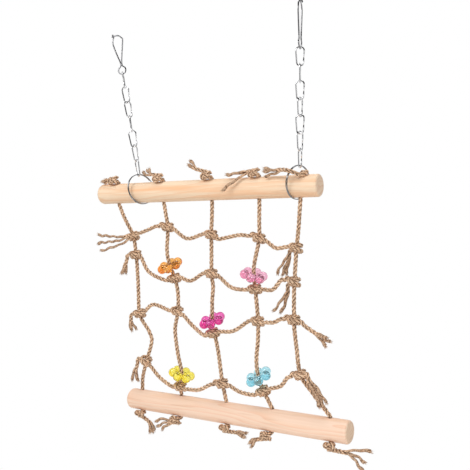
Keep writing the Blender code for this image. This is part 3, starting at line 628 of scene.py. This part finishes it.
def add_tip_fibres(form, line, end, mark, dice):
    """The brush of thicker fibres at a strand's frayed tip."""
    headings, normals, across = transport(line)
    heading = headings[end] * (-1 if end == 0 else 1)
    for _ in range(TIP_FIBRES):
        turn = dice.uniform(*ANY_ANGLE)
        outward = normals[end] * cos(turn) + across[end] * sin(turn)
        base = line[end] + outward * dice.uniform(0.2, 0.8) * STRAND_RADIUS - heading * 1.5 * MM
        reach = dice.uniform(*TIP_FIBRE_REACH)
        bent = base + (heading + outward * dice.uniform(0.0, 0.35)) * reach * 0.55
        tip = bent + (heading + outward * dice.uniform(-0.2, 0.6)) * reach * 0.45
        form.fibre(base, bent, tip, dice.uniform(*TIP_FIBRE_THICK), mark + 40 * dice.random())


def rope_form(route, seed, start=CLOSED, end=CLOSED):
    """Three strands laid together along a route, opened into fans at its ends, with loose fibres."""
    dice = random.Random(seed)
    form = Form()
    along = length_along(route)
    tangents, normals, across = transport(route)
    fans = {0: start, -1: end}
    frayed = [tip for tip in fans if fans[tip][0]]
    opened = {0: open_share(along, start[0]), -1: open_share(along[-1] - along, end[0])}
    both = np.maximum(opened[0], opened[-1])
    loose = np.minimum(1, 4 * both)
    twist = np.concatenate([[0.0], np.cumsum(np.diff(along) * np.clip(1 - 5 * both[1:], 0, 1))])
    phase = 2 * np.pi * twist / LAY + dice.uniform(*ANY_ANGLE)
    sideways = np.cross(tangents, (0.0, 1.0, 0.0))
    sideways /= np.linalg.norm(sideways, axis=1, keepdims=True) + TINY
    wander = dice.uniform(*ANY_ANGLE)
    orders = {tip: dice.sample(FAN_PLACES, STRANDS) for tip in opened}
    for strand in range(STRANDS):
        angle = phase + strand * 2 * np.pi / STRANDS
        rim = normals * np.cos(angle)[:, None] + across * np.sin(angle)[:, None]
        uneven = np.sin(2 * np.pi * along / STRAND_UNEVEN_LENGTH + wander + 2.1 * strand)
        radii = STRAND_RADIUS * (1 + STRAND_UNEVEN * uneven) * (1 + LOOSE_SWELL * loose)
        curl = 2 * np.pi * along / dice.uniform(*CURL_LENGTHS) + dice.uniform(*ANY_ANGLE)
        line = route + rim * STRAND_OFFSET + sideways * (CURL_SIZE * np.sin(curl) * both)[:, None]
        for tip, share in opened.items():
            line = line + fan_offset(fans[tip][1], strand, orders[tip][strand], share, sideways, dice)
        first = dice.randrange(0, TIP_STAGGER) if start[0] else 0
        last = len(route) - (dice.randrange(0, TIP_STAGGER) if end[0] else 0)
        kept = slice(first, last)
        line, radii, places = line[kept], radii[kept], along[kept]
        for tip in frayed:
            near = np.clip(1 - np.abs(places - places[tip]) / TIP_FLARE_LENGTH, 0, 1)
            radii = radii * (1 + TIP_FLARE * near)
        # Each strand starts at its own place in the pattern of fibres
        mark = 400.0 * (seed % 97) + 130.0 * strand
        form.tube(line, radii, STRAND_SIDES, mark, route[kept], STRAND_OFFSET + STRAND_RADIUS, loose[kept])
        fuzz = round(FUZZ_PER_MM * along[-1] / MM / STRANDS)
        add_fuzz(form, line, radii, route[kept], fuzz, mark, dice)
        for tip in frayed:
            add_tip_fibres(form, line, tip, mark, dice)
    return form


def new_object(name, data):
    made = bpy.data.objects.new(name, data)
    bpy.context.scene.collection.objects.link(made)
    return made


def place_piece(node, ending, mesh, material, body, matrix=Matrix()):
    """A new piece that stands for a CAD node, rides on a body and takes a slot's finish."""
    piece = new_object(f"{node}_{ending}", mesh)
    piece.matrix_world = matrix
    mesh.materials.clear()
    mesh.materials.append(material)
    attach(piece, body)
    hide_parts(node)


# Materials
def new_material(name):
    material = bpy.data.materials.new(name)
    material.use_nodes = True
    tree = material.node_tree
    return material, tree, tree.nodes["Principled BSDF"]


def feed(tree, socket, value):
    """Links an output to a socket, or sets the socket to a plain value."""
    if isinstance(value, bpy.types.NodeSocket):
        tree.links.new(value, socket)
    elif socket.type == "RGBA":
        socket.default_value = (*value, 1.0)
    else:
        socket.default_value = value


def add_node(tree, kind, settings=None, **inputs):
    """A new node's outputs. Its inputs are named by number, as i0, or by label."""
    node = tree.nodes.new("ShaderNode" + kind)
    for key, value in (settings or {}).items():
        setattr(node, key, value)
    for key, value in inputs.items():
        numbered = key[0] == "i" and key[1:].isdigit()
        feed(tree, node.inputs[int(key[1:]) if numbered else key], value)
    return node.outputs


def maths(tree, operation, first, second=0.0, third=0.0):
    return add_node(tree, "Math", {"operation": operation}, i0=first, i1=second, i2=third)[0]


def ramp(tree, value, stops):
    colours = add_node(tree, "ValToRGB", i0=value)[0]
    elements = colours.node.color_ramp.elements
    while len(elements) < len(stops):
        elements.new(0.5)
    for element, (place, colour) in zip(elements, stops):
        element.position = place
        element.color = (*colour, 1.0)
    return colours


def mixed(tree, blend, share, first, second):
    settings = {"data_type": "RGBA", "blend_type": blend}
    return add_node(tree, "Mix", settings, i0=share, i6=first, i7=second)[2]


def mixed_shaders(tree, share, first, second):
    return add_node(tree, "MixShader", i0=share, i1=first, i2=second)[0]


def shaded(tree, colour, share, value, low, shade, high):
    """The colour, darkened by a shade where the value is low."""
    return mixed(tree, "MULTIPLY", share, colour, ramp(tree, value, ((low, shade), (high, WHITE))))


def graded(tree, value, start, end, low, high, kind="SMOOTHSTEP"):
    """A value's stretch from start to end, drawn out from low to high."""
    settings = {"interpolation_type": kind}
    return add_node(tree, "MapRange", settings, i0=value, i1=start, i2=end, i3=low, i4=high)[0]


def noise(tree, spot, scale, detail, roughness):
    return add_node(tree, "TexNoise", Vector=spot, Scale=scale, Detail=detail, Roughness=roughness)[0]


def stretched_noise(tree, spot, shift, scale, detail, roughness):
    place = add_node(tree, "Mapping", Vector=spot, Location=shift, Scale=scale)[0]
    return noise(tree, place, 1.0, detail, roughness)


def lay_noise(tree, first, first_rate, second, second_rate, detail, roughness):
    """Noise on a rope strand, with a rate for each coordinate of its lay."""
    x = maths(tree, "MULTIPLY", first, first_rate)
    y = maths(tree, "MULTIPLY", second, second_rate)
    return noise(tree, add_node(tree, "CombineXYZ", i0=x, i1=y)[0], 1.0, detail, roughness)


def dress(tree, shader, height, strength, distance, finish):
    """Gives a shader a bump of this height, and the inputs that its finish names."""
    bump = add_node(tree, "Bump", Strength=strength, Distance=distance, Height=height)[0]
    for label, value in (("Normal", bump), *finish.items()):
        feed(tree, shader.inputs[label], value)


def jute_material():
    """Twisted plant fibre with blotches and dark flecks, and painted shade in the grooves between its
    strands.
    """
    material, tree, shader = new_material("jute_rope_laid")
    parts = add_node(tree, "SeparateXYZ", i0=add_node(tree, "UVMap", {"uv_map": "lay"})[0])
    around, along = parts[0], parts[1]
    slanted = maths(tree, "MULTIPLY_ADD", along, 0.075, around)
    fibres = lay_noise(tree, slanted, 13.0, along, 0.16, 3.0, 0.6)
    hairs = lay_noise(tree, slanted, 40.0, along, 0.35, 2.0, 0.5)
    blotches = lay_noise(tree, along, 0.06, around, 1.0, 2.0, 0.5)
    flecks = lay_noise(tree, slanted, 5.0, along, 0.45, 2.0, 0.6)
    depth = add_node(tree, "Attribute", {"attribute_name": "depth"})["Fac"]
    colour = ramp(tree, fibres, (
        (0.25, (0.52, 0.285, 0.155)), (0.40, (0.88, 0.54, 0.33)), (0.52, (1.0, 0.705, 0.475)),
        (0.74, (1.0, 0.86, 0.67))))
    colour = shaded(tree, colour, 0.3, hairs, 0.3, (0.62, 0.58, 0.54), 0.6)
    colour = shaded(tree, colour, 0.4, blotches, 0.3, (0.80, 0.77, 0.74), 0.7)
    colour = shaded(tree, colour, 0.95, flecks, 0.38, (0.30, 0.25, 0.21), 0.54)
    # Painted shade: darker where a point lies nearer the rope's axis, in the grooves between the strands
    colour = shaded(tree, colour, 1.0, depth, 0.54, (0.15, 0.09, 0.06), 0.90)
    rough = maths(tree, "MULTIPLY_ADD", hairs, 0.2, 0.72)
    height = maths(tree, "MULTIPLY_ADD", hairs, 0.5, fibres)
    dress(tree, shader, height, 0.7, 0.25 * MM, {
        "Base Color": colour, "Roughness": rough, "Sheen Weight": 0.12, "Specular IOR Level": 0.25})
    return material


def growth_rings(tree, spot, pith, seed):
    """Where a point lies between two wavy growth rings about a pith line, from 0 to 1."""
    waves = stretched_noise(tree, spot, (seed, 0.0, 0.0), (5.0, 45.0, 45.0), 2.0, 0.45)
    parts = add_node(tree, "SeparateXYZ", i0=spot)
    y = maths(tree, "SUBTRACT", parts[1], pith[0])
    z = maths(tree, "SUBTRACT", parts[2], pith[1])
    square = maths(tree, "MULTIPLY_ADD", y, y, maths(tree, "MULTIPLY", z, z))
    rings = maths(tree, "DIVIDE", maths(tree, "SQRT", square), RING_WIDTH)
    return maths(tree, "FRACT", maths(tree, "MULTIPLY_ADD", waves, RING_WAVES, rings))


def end_grain(tree, spot, ring, pores):
    """The colour of a perch's sawn ends, and where they are."""
    outward = maths(tree, "ABSOLUTE", add_node(tree, "SeparateXYZ", i0=spot)[0])
    half = PERCH_LENGTH / 2
    place = graded(tree, outward, half - 1.2 * MM, half - 0.1 * MM, 0.0, 1.0, "LINEAR")
    colour = ramp(tree, ring, (
        (0.0, (0.95, 0.74, 0.55)), (0.6, (0.94, 0.70, 0.51)), (0.9, (0.86, 0.58, 0.39)),
        (1.0, (0.95, 0.73, 0.54))))
    return shaded(tree, colour, 0.8, pores, 0.35, (0.90, 0.87, 0.84), 0.6), place


def pine_material(name, tone, pith, seed, streaked):
    """Solid wood: growth rings about a pith line, cut by the dowel's surface and end faces."""
    material, tree, shader = new_material(name)
    spot = add_node(tree, "TexCoord")["Object"]
    ring = growth_rings(tree, spot, pith, seed)
    fine = stretched_noise(tree, spot, (0.0, seed, 0.0), (22.0, 900.0, 900.0), 3.0, 0.6)
    streaks = stretched_noise(tree, spot, (0.0, 0.0, seed), (7.0, 110.0, 110.0), 3.0, 0.55)
    dashes = stretched_noise(tree, spot, (seed, seed, 0.0), (16.0, 330.0, 330.0), 2.0, 0.5)
    pores = noise(tree, spot, 1400.0, 2.0, 0.5)
    shades = ((0.0, WHITE), (0.55, (0.995, 0.97, 0.95)), (0.84, (0.98, 0.89, 0.83)),
              (0.95, (0.96, 0.83, 0.75)), (1.0, WHITE))
    tones = [(place, tuple(a * b for a, b in zip(tone, shade))) for place, shade in shades]
    colour = ramp(tree, ring, tones)
    colour = shaded(tree, colour, 0.55, fine, 0.3, (0.92, 0.86, 0.80), 0.62)
    for marks, start, end, most, stain in (
        (streaks, 0.70 - streaked / 4, 0.90 - streaked / 4, streaked, (0.94, 0.53, 0.29)),
        (dashes, 0.64, 0.74, 0.6 * streaked, (0.66, 0.38, 0.22)),
    ):
        share = ramp(tree, marks, ((start, (0.0, 0.0, 0.0)), (end, (most, most, most))))
        colour = mixed(tree, "MIX", share, colour, stain)
    end_colour, end_place = end_grain(tree, spot, ring, pores)
    colour = mixed(tree, "MIX", end_place, colour, end_colour)
    rough = maths(tree, "MULTIPLY_ADD", fine, 0.18, 0.46)
    height = maths(tree, "MULTIPLY_ADD", ring, -0.35, fine)
    height = maths(tree, "MULTIPLY_ADD", maths(tree, "MULTIPLY", pores, end_place), 0.8, height)
    dress(tree, shader, height, 0.35, 0.15 * MM, {
        "Base Color": colour, "Roughness": rough, "Specular IOR Level": 0.35})
    return material


def steel_material(name, dull, bright):
    """Drawn wire with a bright plating, duller where it is worn."""
    material, tree, shader = new_material(name)
    lay = add_node(tree, "UVMap", {"uv_map": "lay"})[0]
    still = (0.0, 0.0, 0.0)
    drawn = stretched_noise(tree, lay, still, (24.0, 0.25, 1.0), 3.0, 0.6)
    worn = stretched_noise(tree, lay, still, (3.0, 0.6, 1.0), 3.0, 0.6)
    colour = ramp(tree, worn, ((0.35, dull), (0.6, bright)))
    rough = maths(tree, "MULTIPLY_ADD", worn, 0.16, 0.06)
    dress(tree, shader, drawn, 0.12, 0.04 * MM, {"Base Color": colour, "Roughness": rough, "Metallic": 1.0})
    return material


def acrylic_material(name, pale, deep):
    """Clear tinted acrylic with a slight swirl and a rippled surface."""
    material, tree, shader = new_material(name)
    spot = add_node(tree, "TexCoord")["Object"]
    swirl = noise(tree, spot, 160.0, 2.0, 0.5)
    ripple = noise(tree, spot, 420.0, 1.0, 0.4)
    colour = ramp(tree, swirl, ((0.35, deep), (0.65, pale)))
    rough = maths(tree, "MULTIPLY_ADD", swirl, 0.05, 0.01)
    dress(tree, shader, ripple, 0.08, 0.10 * MM, {
        "Base Color": colour, "Roughness": rough, "Transmission Weight": 0.84, "IOR": 1.49})
    return material


# Perches
def perch_end(edge):
    """A perch's end face and rounded edge: how far in from the face, and the radius."""
    profile = [(0.0, share * (PERCH_RADIUS - edge)) for share in (0.25, 0.5, 0.75)]
    for share in shares(7):
        angle = pi / 2 * share
        profile.append((edge * (1 - cos(angle)), PERCH_RADIUS - edge * (1 - sin(angle))))
    return profile


def perch_profile(left_edge, right_edge):
    """Places along a perch and the radius at each, from the left end face to the right one."""
    half = PERCH_LENGTH / 2
    body = np.linspace(-half + left_edge, half - right_edge, PERCH_STEPS + 1)[1:-1]
    profile = [(inset - half, radius) for inset, radius in perch_end(left_edge)]
    profile += [(float(x), PERCH_RADIUS) for x in body]
    return profile + [(half - inset, radius) for inset, radius in reversed(perch_end(right_edge))]


def uneven_waves(dice):
    """Waves of a hand-worked surface: size in millimetres, rate along, lobes round, and shift."""
    return [(dice.uniform(0.06, 0.14), dice.uniform(18, 60), dice.randrange(1, 4), dice.uniform(*ANY_ANGLE))
            for _ in range(5)]


def perch_mesh(name, holes, edges, seed):
    """A turned dowel along X with its end edges rounded by hand, slight unevenness and drilled holes."""
    waves = uneven_waves(random.Random(seed))
    profile = perch_profile(*edges)
    points = []
    for x, radius in profile:
        for angle in turn_angles(PERCH_SEGMENTS):
            rises = [size * sin(rate * x + lobes * angle + shift) for size, rate, lobes, shift in waves]
            real = radius * (1 - (PERCH_WEAR - 0.5 * MM * sum(rises)) / PERCH_RADIUS)
            points.append((x, real * cos(angle), real * sin(angle)))
    faces = [(a, d, c, b) for a, b, c, d in quads(len(profile), PERCH_SEGMENTS)]
    left, right = len(points), len(points) + 1
    final_ring = left - PERCH_SEGMENTS
    points += [(-PERCH_LENGTH / 2, 0.0, 0.0), (PERCH_LENGTH / 2, 0.0, 0.0)]
    for place in range(PERCH_SEGMENTS):
        after = (place + 1) % PERCH_SEGMENTS
        faces += [(left, place, after), (right, final_ring + after, final_ring + place)]
    return drilled(smooth_mesh(name, points, faces), holes)


def drilled(mesh, holes):
    body = new_object("drilling", mesh)
    cutters = []
    for place in holes:
        form = Form()
        form.tube([(place, 0.0, z) for z in (-DRILL_REACH, 0.0, DRILL_REACH)], HOLE_RADIUS, DRILL_SIDES)
        cutter = new_object("drill", form.mesh("drill"))
        cut = body.modifiers.new("hole", "BOOLEAN")
        cut.operation = "DIFFERENCE"
        cut.solver = "EXACT"
        cut.object = cutter
        cutters.append(cutter)
    bpy.context.view_layer.update()
    done = bpy.data.meshes.new_from_object(body.evaluated_get(bpy.context.evaluated_depsgraph_get()))
    for used in [body, *cutters]:
        bpy.data.objects.remove(used, do_unlink=True)
    done.name = mesh.name + "_drilled"
    done.shade_smooth()
    done.set_sharp_from_angle(angle=radians(50))
    return done


def build_perches():
    upper_place = Matrix.Translation((0.0, 0.0, PERCH_Z))
    lower_place = Matrix.Translation(LOWER_CENTRE) @ LOWER_TURN
    for side, wood, holes, edges, seed, place in (
        ("upper", UPPER_WOOD, UPPER_HOLES, UPPER_PERCH_EDGES, 3, upper_place),
        ("lower", LOWER_WOOD, LOWER_HOLES, LOWER_PERCH_EDGES, 5, lower_place),
    ):
        pine = pine_material(f"pale_pine_{side}", *wood)
        mesh = perch_mesh(f"{side}_perch_dowel", holes, edges, seed)
        place_piece(f"{side}_perch", "dowel", mesh, pine, f"{side}_perch_set", place)


# Ropes
def beyond(tip, before):
    """A point a little way past a rope's end, in a perch's hole."""
    return tip + (tip - before) / np.linalg.norm(tip - before) * ROPE_END_INSET


def build_ropes(routes):
    jute = jute_material()
    for index, route in enumerate(routes):
        line = np.array([beyond(route[0], route[1]), *route, beyond(route[-1], route[-2])])
        name = f"vertical_rope_{index + 1}"
        form = rope_form(even_steps(line, ROUTE_STEP), VERTICAL_SEED + index)
        place_piece(name, "laid", form.mesh(name), jute, "net")
    for row in range(len(KNOT_SHARES)):
        name = f"cross_rope_{row + 1}"
        form = rope_form(cross_route(row, routes), CROSS_SEED + row, LEFT_FANS[row], RIGHT_FANS[row])
        place_piece(name, "laid", form.mesh(name), jute, "net")
    upper_turn = Matrix.Diagonal((1, -1, 1, 1))
    lower_turn = LOWER_TURN @ Matrix.Diagonal((1, -1, -1, 1))
    for side, seed, stoppers, fans, hole, turn in (
        ("upper", UPPER_KNOT_SEED, UPPER_STOPPERS, UPPER_FANS, upper_hole, upper_turn),
        ("lower", LOWER_KNOT_SEED, LOWER_STOPPERS, LOWER_FANS, lower_hole, lower_turn),
    ):
        for index, stopper in enumerate(stoppers):
            centre = hole(index, 0.0)
            points = [centre + turn @ point for point in stopper_route(*stopper)]
            name = f"{side}_knot_{index + 1}"
            form = rope_form(smooth_route(points, ROUTE_STEP), seed + index, end=fans[index])
            place_piece(name, "laid", form.mesh(name), jute, f"{side}_perch_set")


# Chains, rings and hooks
def link_line():
    """Centreline of one link, from a seam half way down one side round to it again."""
    top = Vector((0.0, 0.0, -LINK_TOP_RADIUS))
    bottom = Vector((0.0, 0.0, LINK_BOTTOM_RADIUS - LINK_REACH))
    taper = asin((LINK_TOP_RADIUS - LINK_BOTTOM_RADIUS) / (top.z - bottom.z))
    loop = []
    for centre, radius, start, end in (
        (top, LINK_TOP_RADIUS, -taper, pi + taper),
        (bottom, LINK_BOTTOM_RADIUS, pi + taper, 2 * pi - taper),
    ):
        for share in shares(20):
            angle = start + (end - start) * share
            loop.append(centre + radius * Vector((cos(angle), 0.0, sin(angle))))
    first, final = (loop[-1].lerp(loop[0], 0.5 + gap) for gap in (LINK_SEAM, -LINK_SEAM))
    return np.array([first, *loop, final])


def ring_line():
    """Centreline of a split ring: nearly two turns side by side, with a jog between them."""
    start, end = RING_SPLIT, 4 * pi - RING_SPLIT
    points = []
    for share in shares(220):
        angle = start + (end - start) * share
        jog = min(1.0, max(0.0, (angle - 2 * pi + RING_JOG) / (2 * RING_JOG)))
        side = (jog * jog * (3 - 2 * jog) - 0.5) * RING_PITCH
        points.append(Vector((side, RING_RADIUS * cos(angle), RING_RADIUS * sin(angle))))
    return points


def leg_point(side, x, z):
    """A point of a hook's wire, from 1 on the gate's side to -1 on the crown's side."""
    return Vector((x, side * LEG_OFFSET, z))


def latch_point():
    """Where the gate's curl holds the crown's tip."""
    return leg_point(-1, -LATCH_REACH, HOOK_HEIGHT - LATCH_REACH * HOOK_TIP_SLOPE)


def hook_line():
    """Centreline of a hook's fixed wire: waist, eye, leg, crown and tip."""
    waist_end = HOOK_WAIST_HEIGHT - LATCH_GAP
    points = [leg_point(1, -HOOK_WAIST_HALF, z) for z in (waist_end, waist_end - HOOK_WAIST_STRAIGHT)]
    for share in shares(10):
        angle = radians(HOOK_EYE_START + HOOK_EYE_SWEEP * share)
        height = HOOK_EYE_RADIUS * (1 + sin(angle))
        points.append(leg_point(1 - 2 * share, HOOK_EYE_RADIUS * cos(angle), height))
    points.append(leg_point(-1, HOOK_WAIST_HALF, HOOK_WAIST_HEIGHT))
    for degrees in (0.0, 30.0, 60.0, 90.0):
        angle = radians(degrees)
        height = HOOK_CROWN_HEIGHT + HOOK_CROWN_RISE * sin(angle)
        points.append(leg_point(-1, HOOK_CROWN_HALF * cos(angle), height))
    latch = latch_point()
    points += [latch, latch + LATCH_OVERLAP * Vector((-1.0, 0.0, -HOOK_TIP_SLOPE))]
    return smooth_route(points, WIRE_STEP)


def gate_line():
    """Centreline of a hook's sprung gate, up to the curl that holds the crown's tip."""
    latch = latch_point()
    points = [
        leg_point(1, -HOOK_WAIST_HALF, HOOK_WAIST_HEIGHT),
        leg_point(1, -HOOK_WAIST_HALF, HOOK_WAIST_HEIGHT + HOOK_WAIST_STRAIGHT),
        leg_point(1, -GATE_BELLY, (HOOK_WAIST_HEIGHT + HOOK_CROWN_HEIGHT) / 2),
        leg_point(1, -HOOK_CROWN_HALF, HOOK_CROWN_HEIGHT),
        leg_point(1, latch.x, latch.z),
    ]
    for index in range(1, 7):
        angle = radians(GATE_CURL_STEP * index)
        points.append(latch + 2 * LEG_OFFSET * Vector((0.0, cos(angle), sin(angle))))
    return smooth_route(points, WIRE_STEP)


def wire_mesh(name, line, place, thick=WIRE):
    """A round wire along a line, with slightly drawn-in ends."""
    line = np.array([place @ Vector(point) for point in line])
    radii = np.full(len(line), thick / 2)
    radii[[0, -1]] *= WIRE_END_SHARE
    form = Form()
    form.tube(line, radii, WIRE_SIDES)
    return form.mesh(name)


def turned_place(centre, turn, yaw):
    return Matrix.Translation(centre) @ turn @ Matrix.Rotation(radians(yaw), 4, "Z")


def build_chains():
    steel = steel_material("bright_steel_link", (0.76, 0.76, 0.77), (0.88, 0.88, 0.89))
    for index in range(LINK_COUNT):
        left = Vector((LEFT_CHAIN_X, 0.0, FIRST_PIVOT_Z)) + LEFT_DOWN * (index * LINK_ADVANCE)
        right = Vector((RIGHT_CHAIN_X, 0.0, FIRST_PIVOT_Z - index * LINK_ADVANCE * cos(CHAIN_LEAN)))
        for side, pivot, turn, yaws in (
            ("left", left, LEFT_TURN, LEFT_LINK_YAWS),
            ("right", right, Matrix.Identity(4), RIGHT_LINK_YAWS),
        ):
            name = f"{side}_chain_link_{index + 1}"
            mesh = wire_mesh(name, link_line(), turned_place(pivot, turn, yaws[index]))
            place_piece(name, "wire", mesh, steel, f"{side}_link_{index + 1}")


def build_hooks_and_rings():
    # A darker copy of the links' steel: its colour is darkened to paint the dark reflections seen on the
    # rings and hooks
    steel = steel_material("bright_steel_painted_dark", (0.26, 0.26, 0.27), (0.42, 0.42, 0.43))
    left_eye = Vector((LEFT_CHAIN_X, 0.0, FIRST_PIVOT_Z)) + LEFT_DOWN * HOOK_SEAT
    left_hook = turned_place(left_eye, LEFT_TURN, LEFT_HOOK_YAW)
    right_hook = turned_place((RIGHT_CHAIN_X, 0.0, EYE_Z), Matrix.Identity(4), RIGHT_HOOK_YAW)
    for side, ring_x, down, turn, yaw, hook_place in (
        ("left", LEFT_RING_TOP_X, LEFT_DOWN, LEFT_TURN, LEFT_RING_YAW, left_hook),
        ("right", RIGHT_CHAIN_X, RIGHT_DOWN, RIGHT_RING_TURN, RIGHT_RING_YAW, right_hook),
    ):
        ring_place = turned_place(Vector((ring_x, 0.0, RING_PIVOT_Z)) + down * RING_RADIUS, turn, yaw)
        for name, line, place, thick, body in (
            (f"{side}_split_ring", ring_line(), ring_place, RING_WIRE, f"{side}_ring"),
            (f"{side}_snap_hook", hook_line(), hook_place, WIRE, "hooks"),
            (f"{side}_hook_gate", gate_line(), hook_place, WIRE, f"{side}_gate"),
        ):
            mesh = wire_mesh(name, line, place, thick)
            place_piece(name, "wire", mesh, steel, body)


# Beads
def bead_profile(angle):
    """One radial cut of a bead, from the bore over the top and back below: radius and height."""
    share = (angle * BEAD_PETALS / (2 * pi) + 0.5) % 1.0 - 0.5
    off = share * 2 * pi / BEAD_PETALS
    middle = BEAD_PETAL_CIRCLE * cos(off)
    ball = sqrt(BEAD_PETAL_RADIUS**2 - (BEAD_PETAL_CIRCLE * sin(off))**2)
    upper = []
    for step in shares(25):
        radius = BEAD_BORE + (middle + ball - BEAD_BORE) * sin(pi / 2 * step)
        inside = max(0.0, ball**2 - (radius - middle)**2)
        hub = BEAD_HUB_HALF * max(0.0, 1 - ((radius - BEAD_BORE) / BEAD_HUB_REACH)**2)
        upper.append((radius, max(sqrt(inside), hub)))
    return upper + [(radius, -height) for radius, height in reversed(upper[:-1])]


def bead_mesh(name):
    """Six clear balls joined in a ring round a bored hub."""
    points = []
    for angle in turn_angles(BEAD_SEGMENTS):
        profile = bead_profile(angle)
        x, y = cos(angle), sin(angle)
        points += [(radius * x, radius * y, height) for radius, height in profile]
    faces = quads(BEAD_SEGMENTS + 1, len(profile))
    mesh = smooth_mesh(name, points, [tuple(corner % len(points) for corner in face) for face in faces])
    mesh.set_sharp_from_angle(angle=radians(60))
    return mesh


def build_beads(routes):
    for colour, pale, deep, *settings in BEADS:
        place = bead_place(routes, *settings)
        name = f"{colour}_flower_bead"
        slot = f"{colour}_acrylic"
        acrylic = acrylic_material(f"{slot}_clear", pale, deep)
        place_piece(name, "clear", bead_mesh(name), acrylic, f"{colour}_bead", place)


# Studio
def floor_material():
    """Pale floor under the object, which fades into the white background."""
    material, tree, shader = new_material("pale_floor")
    shader.inputs["Base Color"].default_value = (0.92, 0.92, 0.92, 1.0)
    shader.inputs["Roughness"].default_value = 0.8
    white = add_node(tree, "Emission", Color=WHITE, Strength=1.0)[0]
    clear = add_node(tree, "BsdfTransparent")[0]
    spot = add_node(tree, "TexCoord")["Object"]
    far = add_node(tree, "VectorMath", {"operation": "LENGTH"}, i0=spot)["Value"]
    edge = graded(tree, far, *FLOOR_FADE, 0.0, 1.0)
    path = add_node(tree, "LightPath")
    seen = maths(tree, "MAXIMUM", path["Is Glossy Ray"], path["Is Transmission Ray"])
    seen = maths(tree, "MAXIMUM", path["Is Camera Ray"], seen)
    both = mixed_shaders(tree, edge, shader.outputs[0], mixed_shaders(tree, seen, clear, white))
    tree.links.new(both, tree.nodes["Material Output"].inputs["Surface"])
    return material


def build_floor():
    mesh = bpy.data.meshes.new("floor")
    angles = turn_angles(FLOOR_SIDES)
    points = [(FLOOR_RADIUS * cos(angle), FLOOR_RADIUS * sin(angle), 0.0) for angle in angles]
    faces = [(0, 1 + place, 1 + (place + 1) % FLOOR_SIDES) for place in range(FLOOR_SIDES)]
    mesh.from_pydata([(0.0, 0.0, 0.0), *points], [], faces)
    mesh.materials.append(floor_material())
    floor = new_object("floor", mesh)
    floor.location = (FLOOR_X, 0.0, CAD_BOX[0][2] - FLOOR_DROP)


def build_world():
    """White background and soft light. Mirrored rays see it bright behind the object and dark elsewhere."""
    world = bpy.data.worlds.new("studio")
    bpy.context.scene.world = world
    world.use_nodes = True
    tree = world.node_tree
    tree.nodes.clear()
    path = add_node(tree, "LightPath")
    seen = maths(tree, "MAXIMUM", path["Is Camera Ray"], path["Is Transmission Ray"])
    white = add_node(tree, "Background", Color=WHITE, Strength=1.0)[0]
    soft = add_node(tree, "Background", Color=(1.0, 0.985, 0.97), Strength=0.48)[0]
    aim = add_node(tree, "TexCoord")["Generated"]
    behind = (-sin(CAMERA_YAW), cos(CAMERA_YAW), 0.0)
    facing = add_node(tree, "VectorMath", {"operation": "DOT_PRODUCT"}, i0=aim, i1=behind)["Value"]
    level = graded(tree, facing, -0.85, 0.95, 0.02, 1.0)
    ceiling = graded(tree, add_node(tree, "SeparateXYZ", i0=aim)[2], 0.1, 0.6, 1.0, 0.06)
    shine = add_node(tree, "Background", Color=WHITE, Strength=maths(tree, "MULTIPLY", level, ceiling))[0]
    lit = mixed_shaders(tree, path["Is Glossy Ray"], soft, shine)
    out = tree.nodes.new("ShaderNodeOutputWorld")
    tree.links.new(mixed_shaders(tree, seen, lit, white), out.inputs["Surface"])


def add_lamp(name, place, size, power):
    data = bpy.data.lights.new(name, "AREA")
    data.shape = "DISK"
    data.size = size
    data.energy = power
    lamp = new_object(name, data)
    lamp.location = place
    lamp.rotation_euler = (Vector(LAMP_AIM) - Vector(place)).to_track_quat("-Z", "Y").to_euler()


def add_camera():
    data = bpy.data.cameras.new("camera")
    data.sensor_width = CAMERA_SENSOR
    data.lens = FOCAL_PIXELS / PHOTO_PIXELS * CAMERA_SENSOR
    data.shift_y = CAMERA_SHIFT
    camera = new_object("camera", data)
    camera.location = CAMERA_PLACE
    camera.rotation_euler = (radians(90.0), 0.0, CAMERA_YAW)
    bpy.context.scene.camera = camera
    bpy.context.scene.view_settings.view_transform = "Standard"


build_floor()
build_world()
for lamp_settings in LAMPS:
    add_lamp(*lamp_settings)
add_camera()
vertical_routes = [vertical_route(index) for index in range(len(VERTICAL_ROUTES))]
build_chains()
build_hooks_and_rings()
build_perches()
build_ropes(vertical_routes)
build_beads(vertical_routes)

bpy.context.view_layer.update()
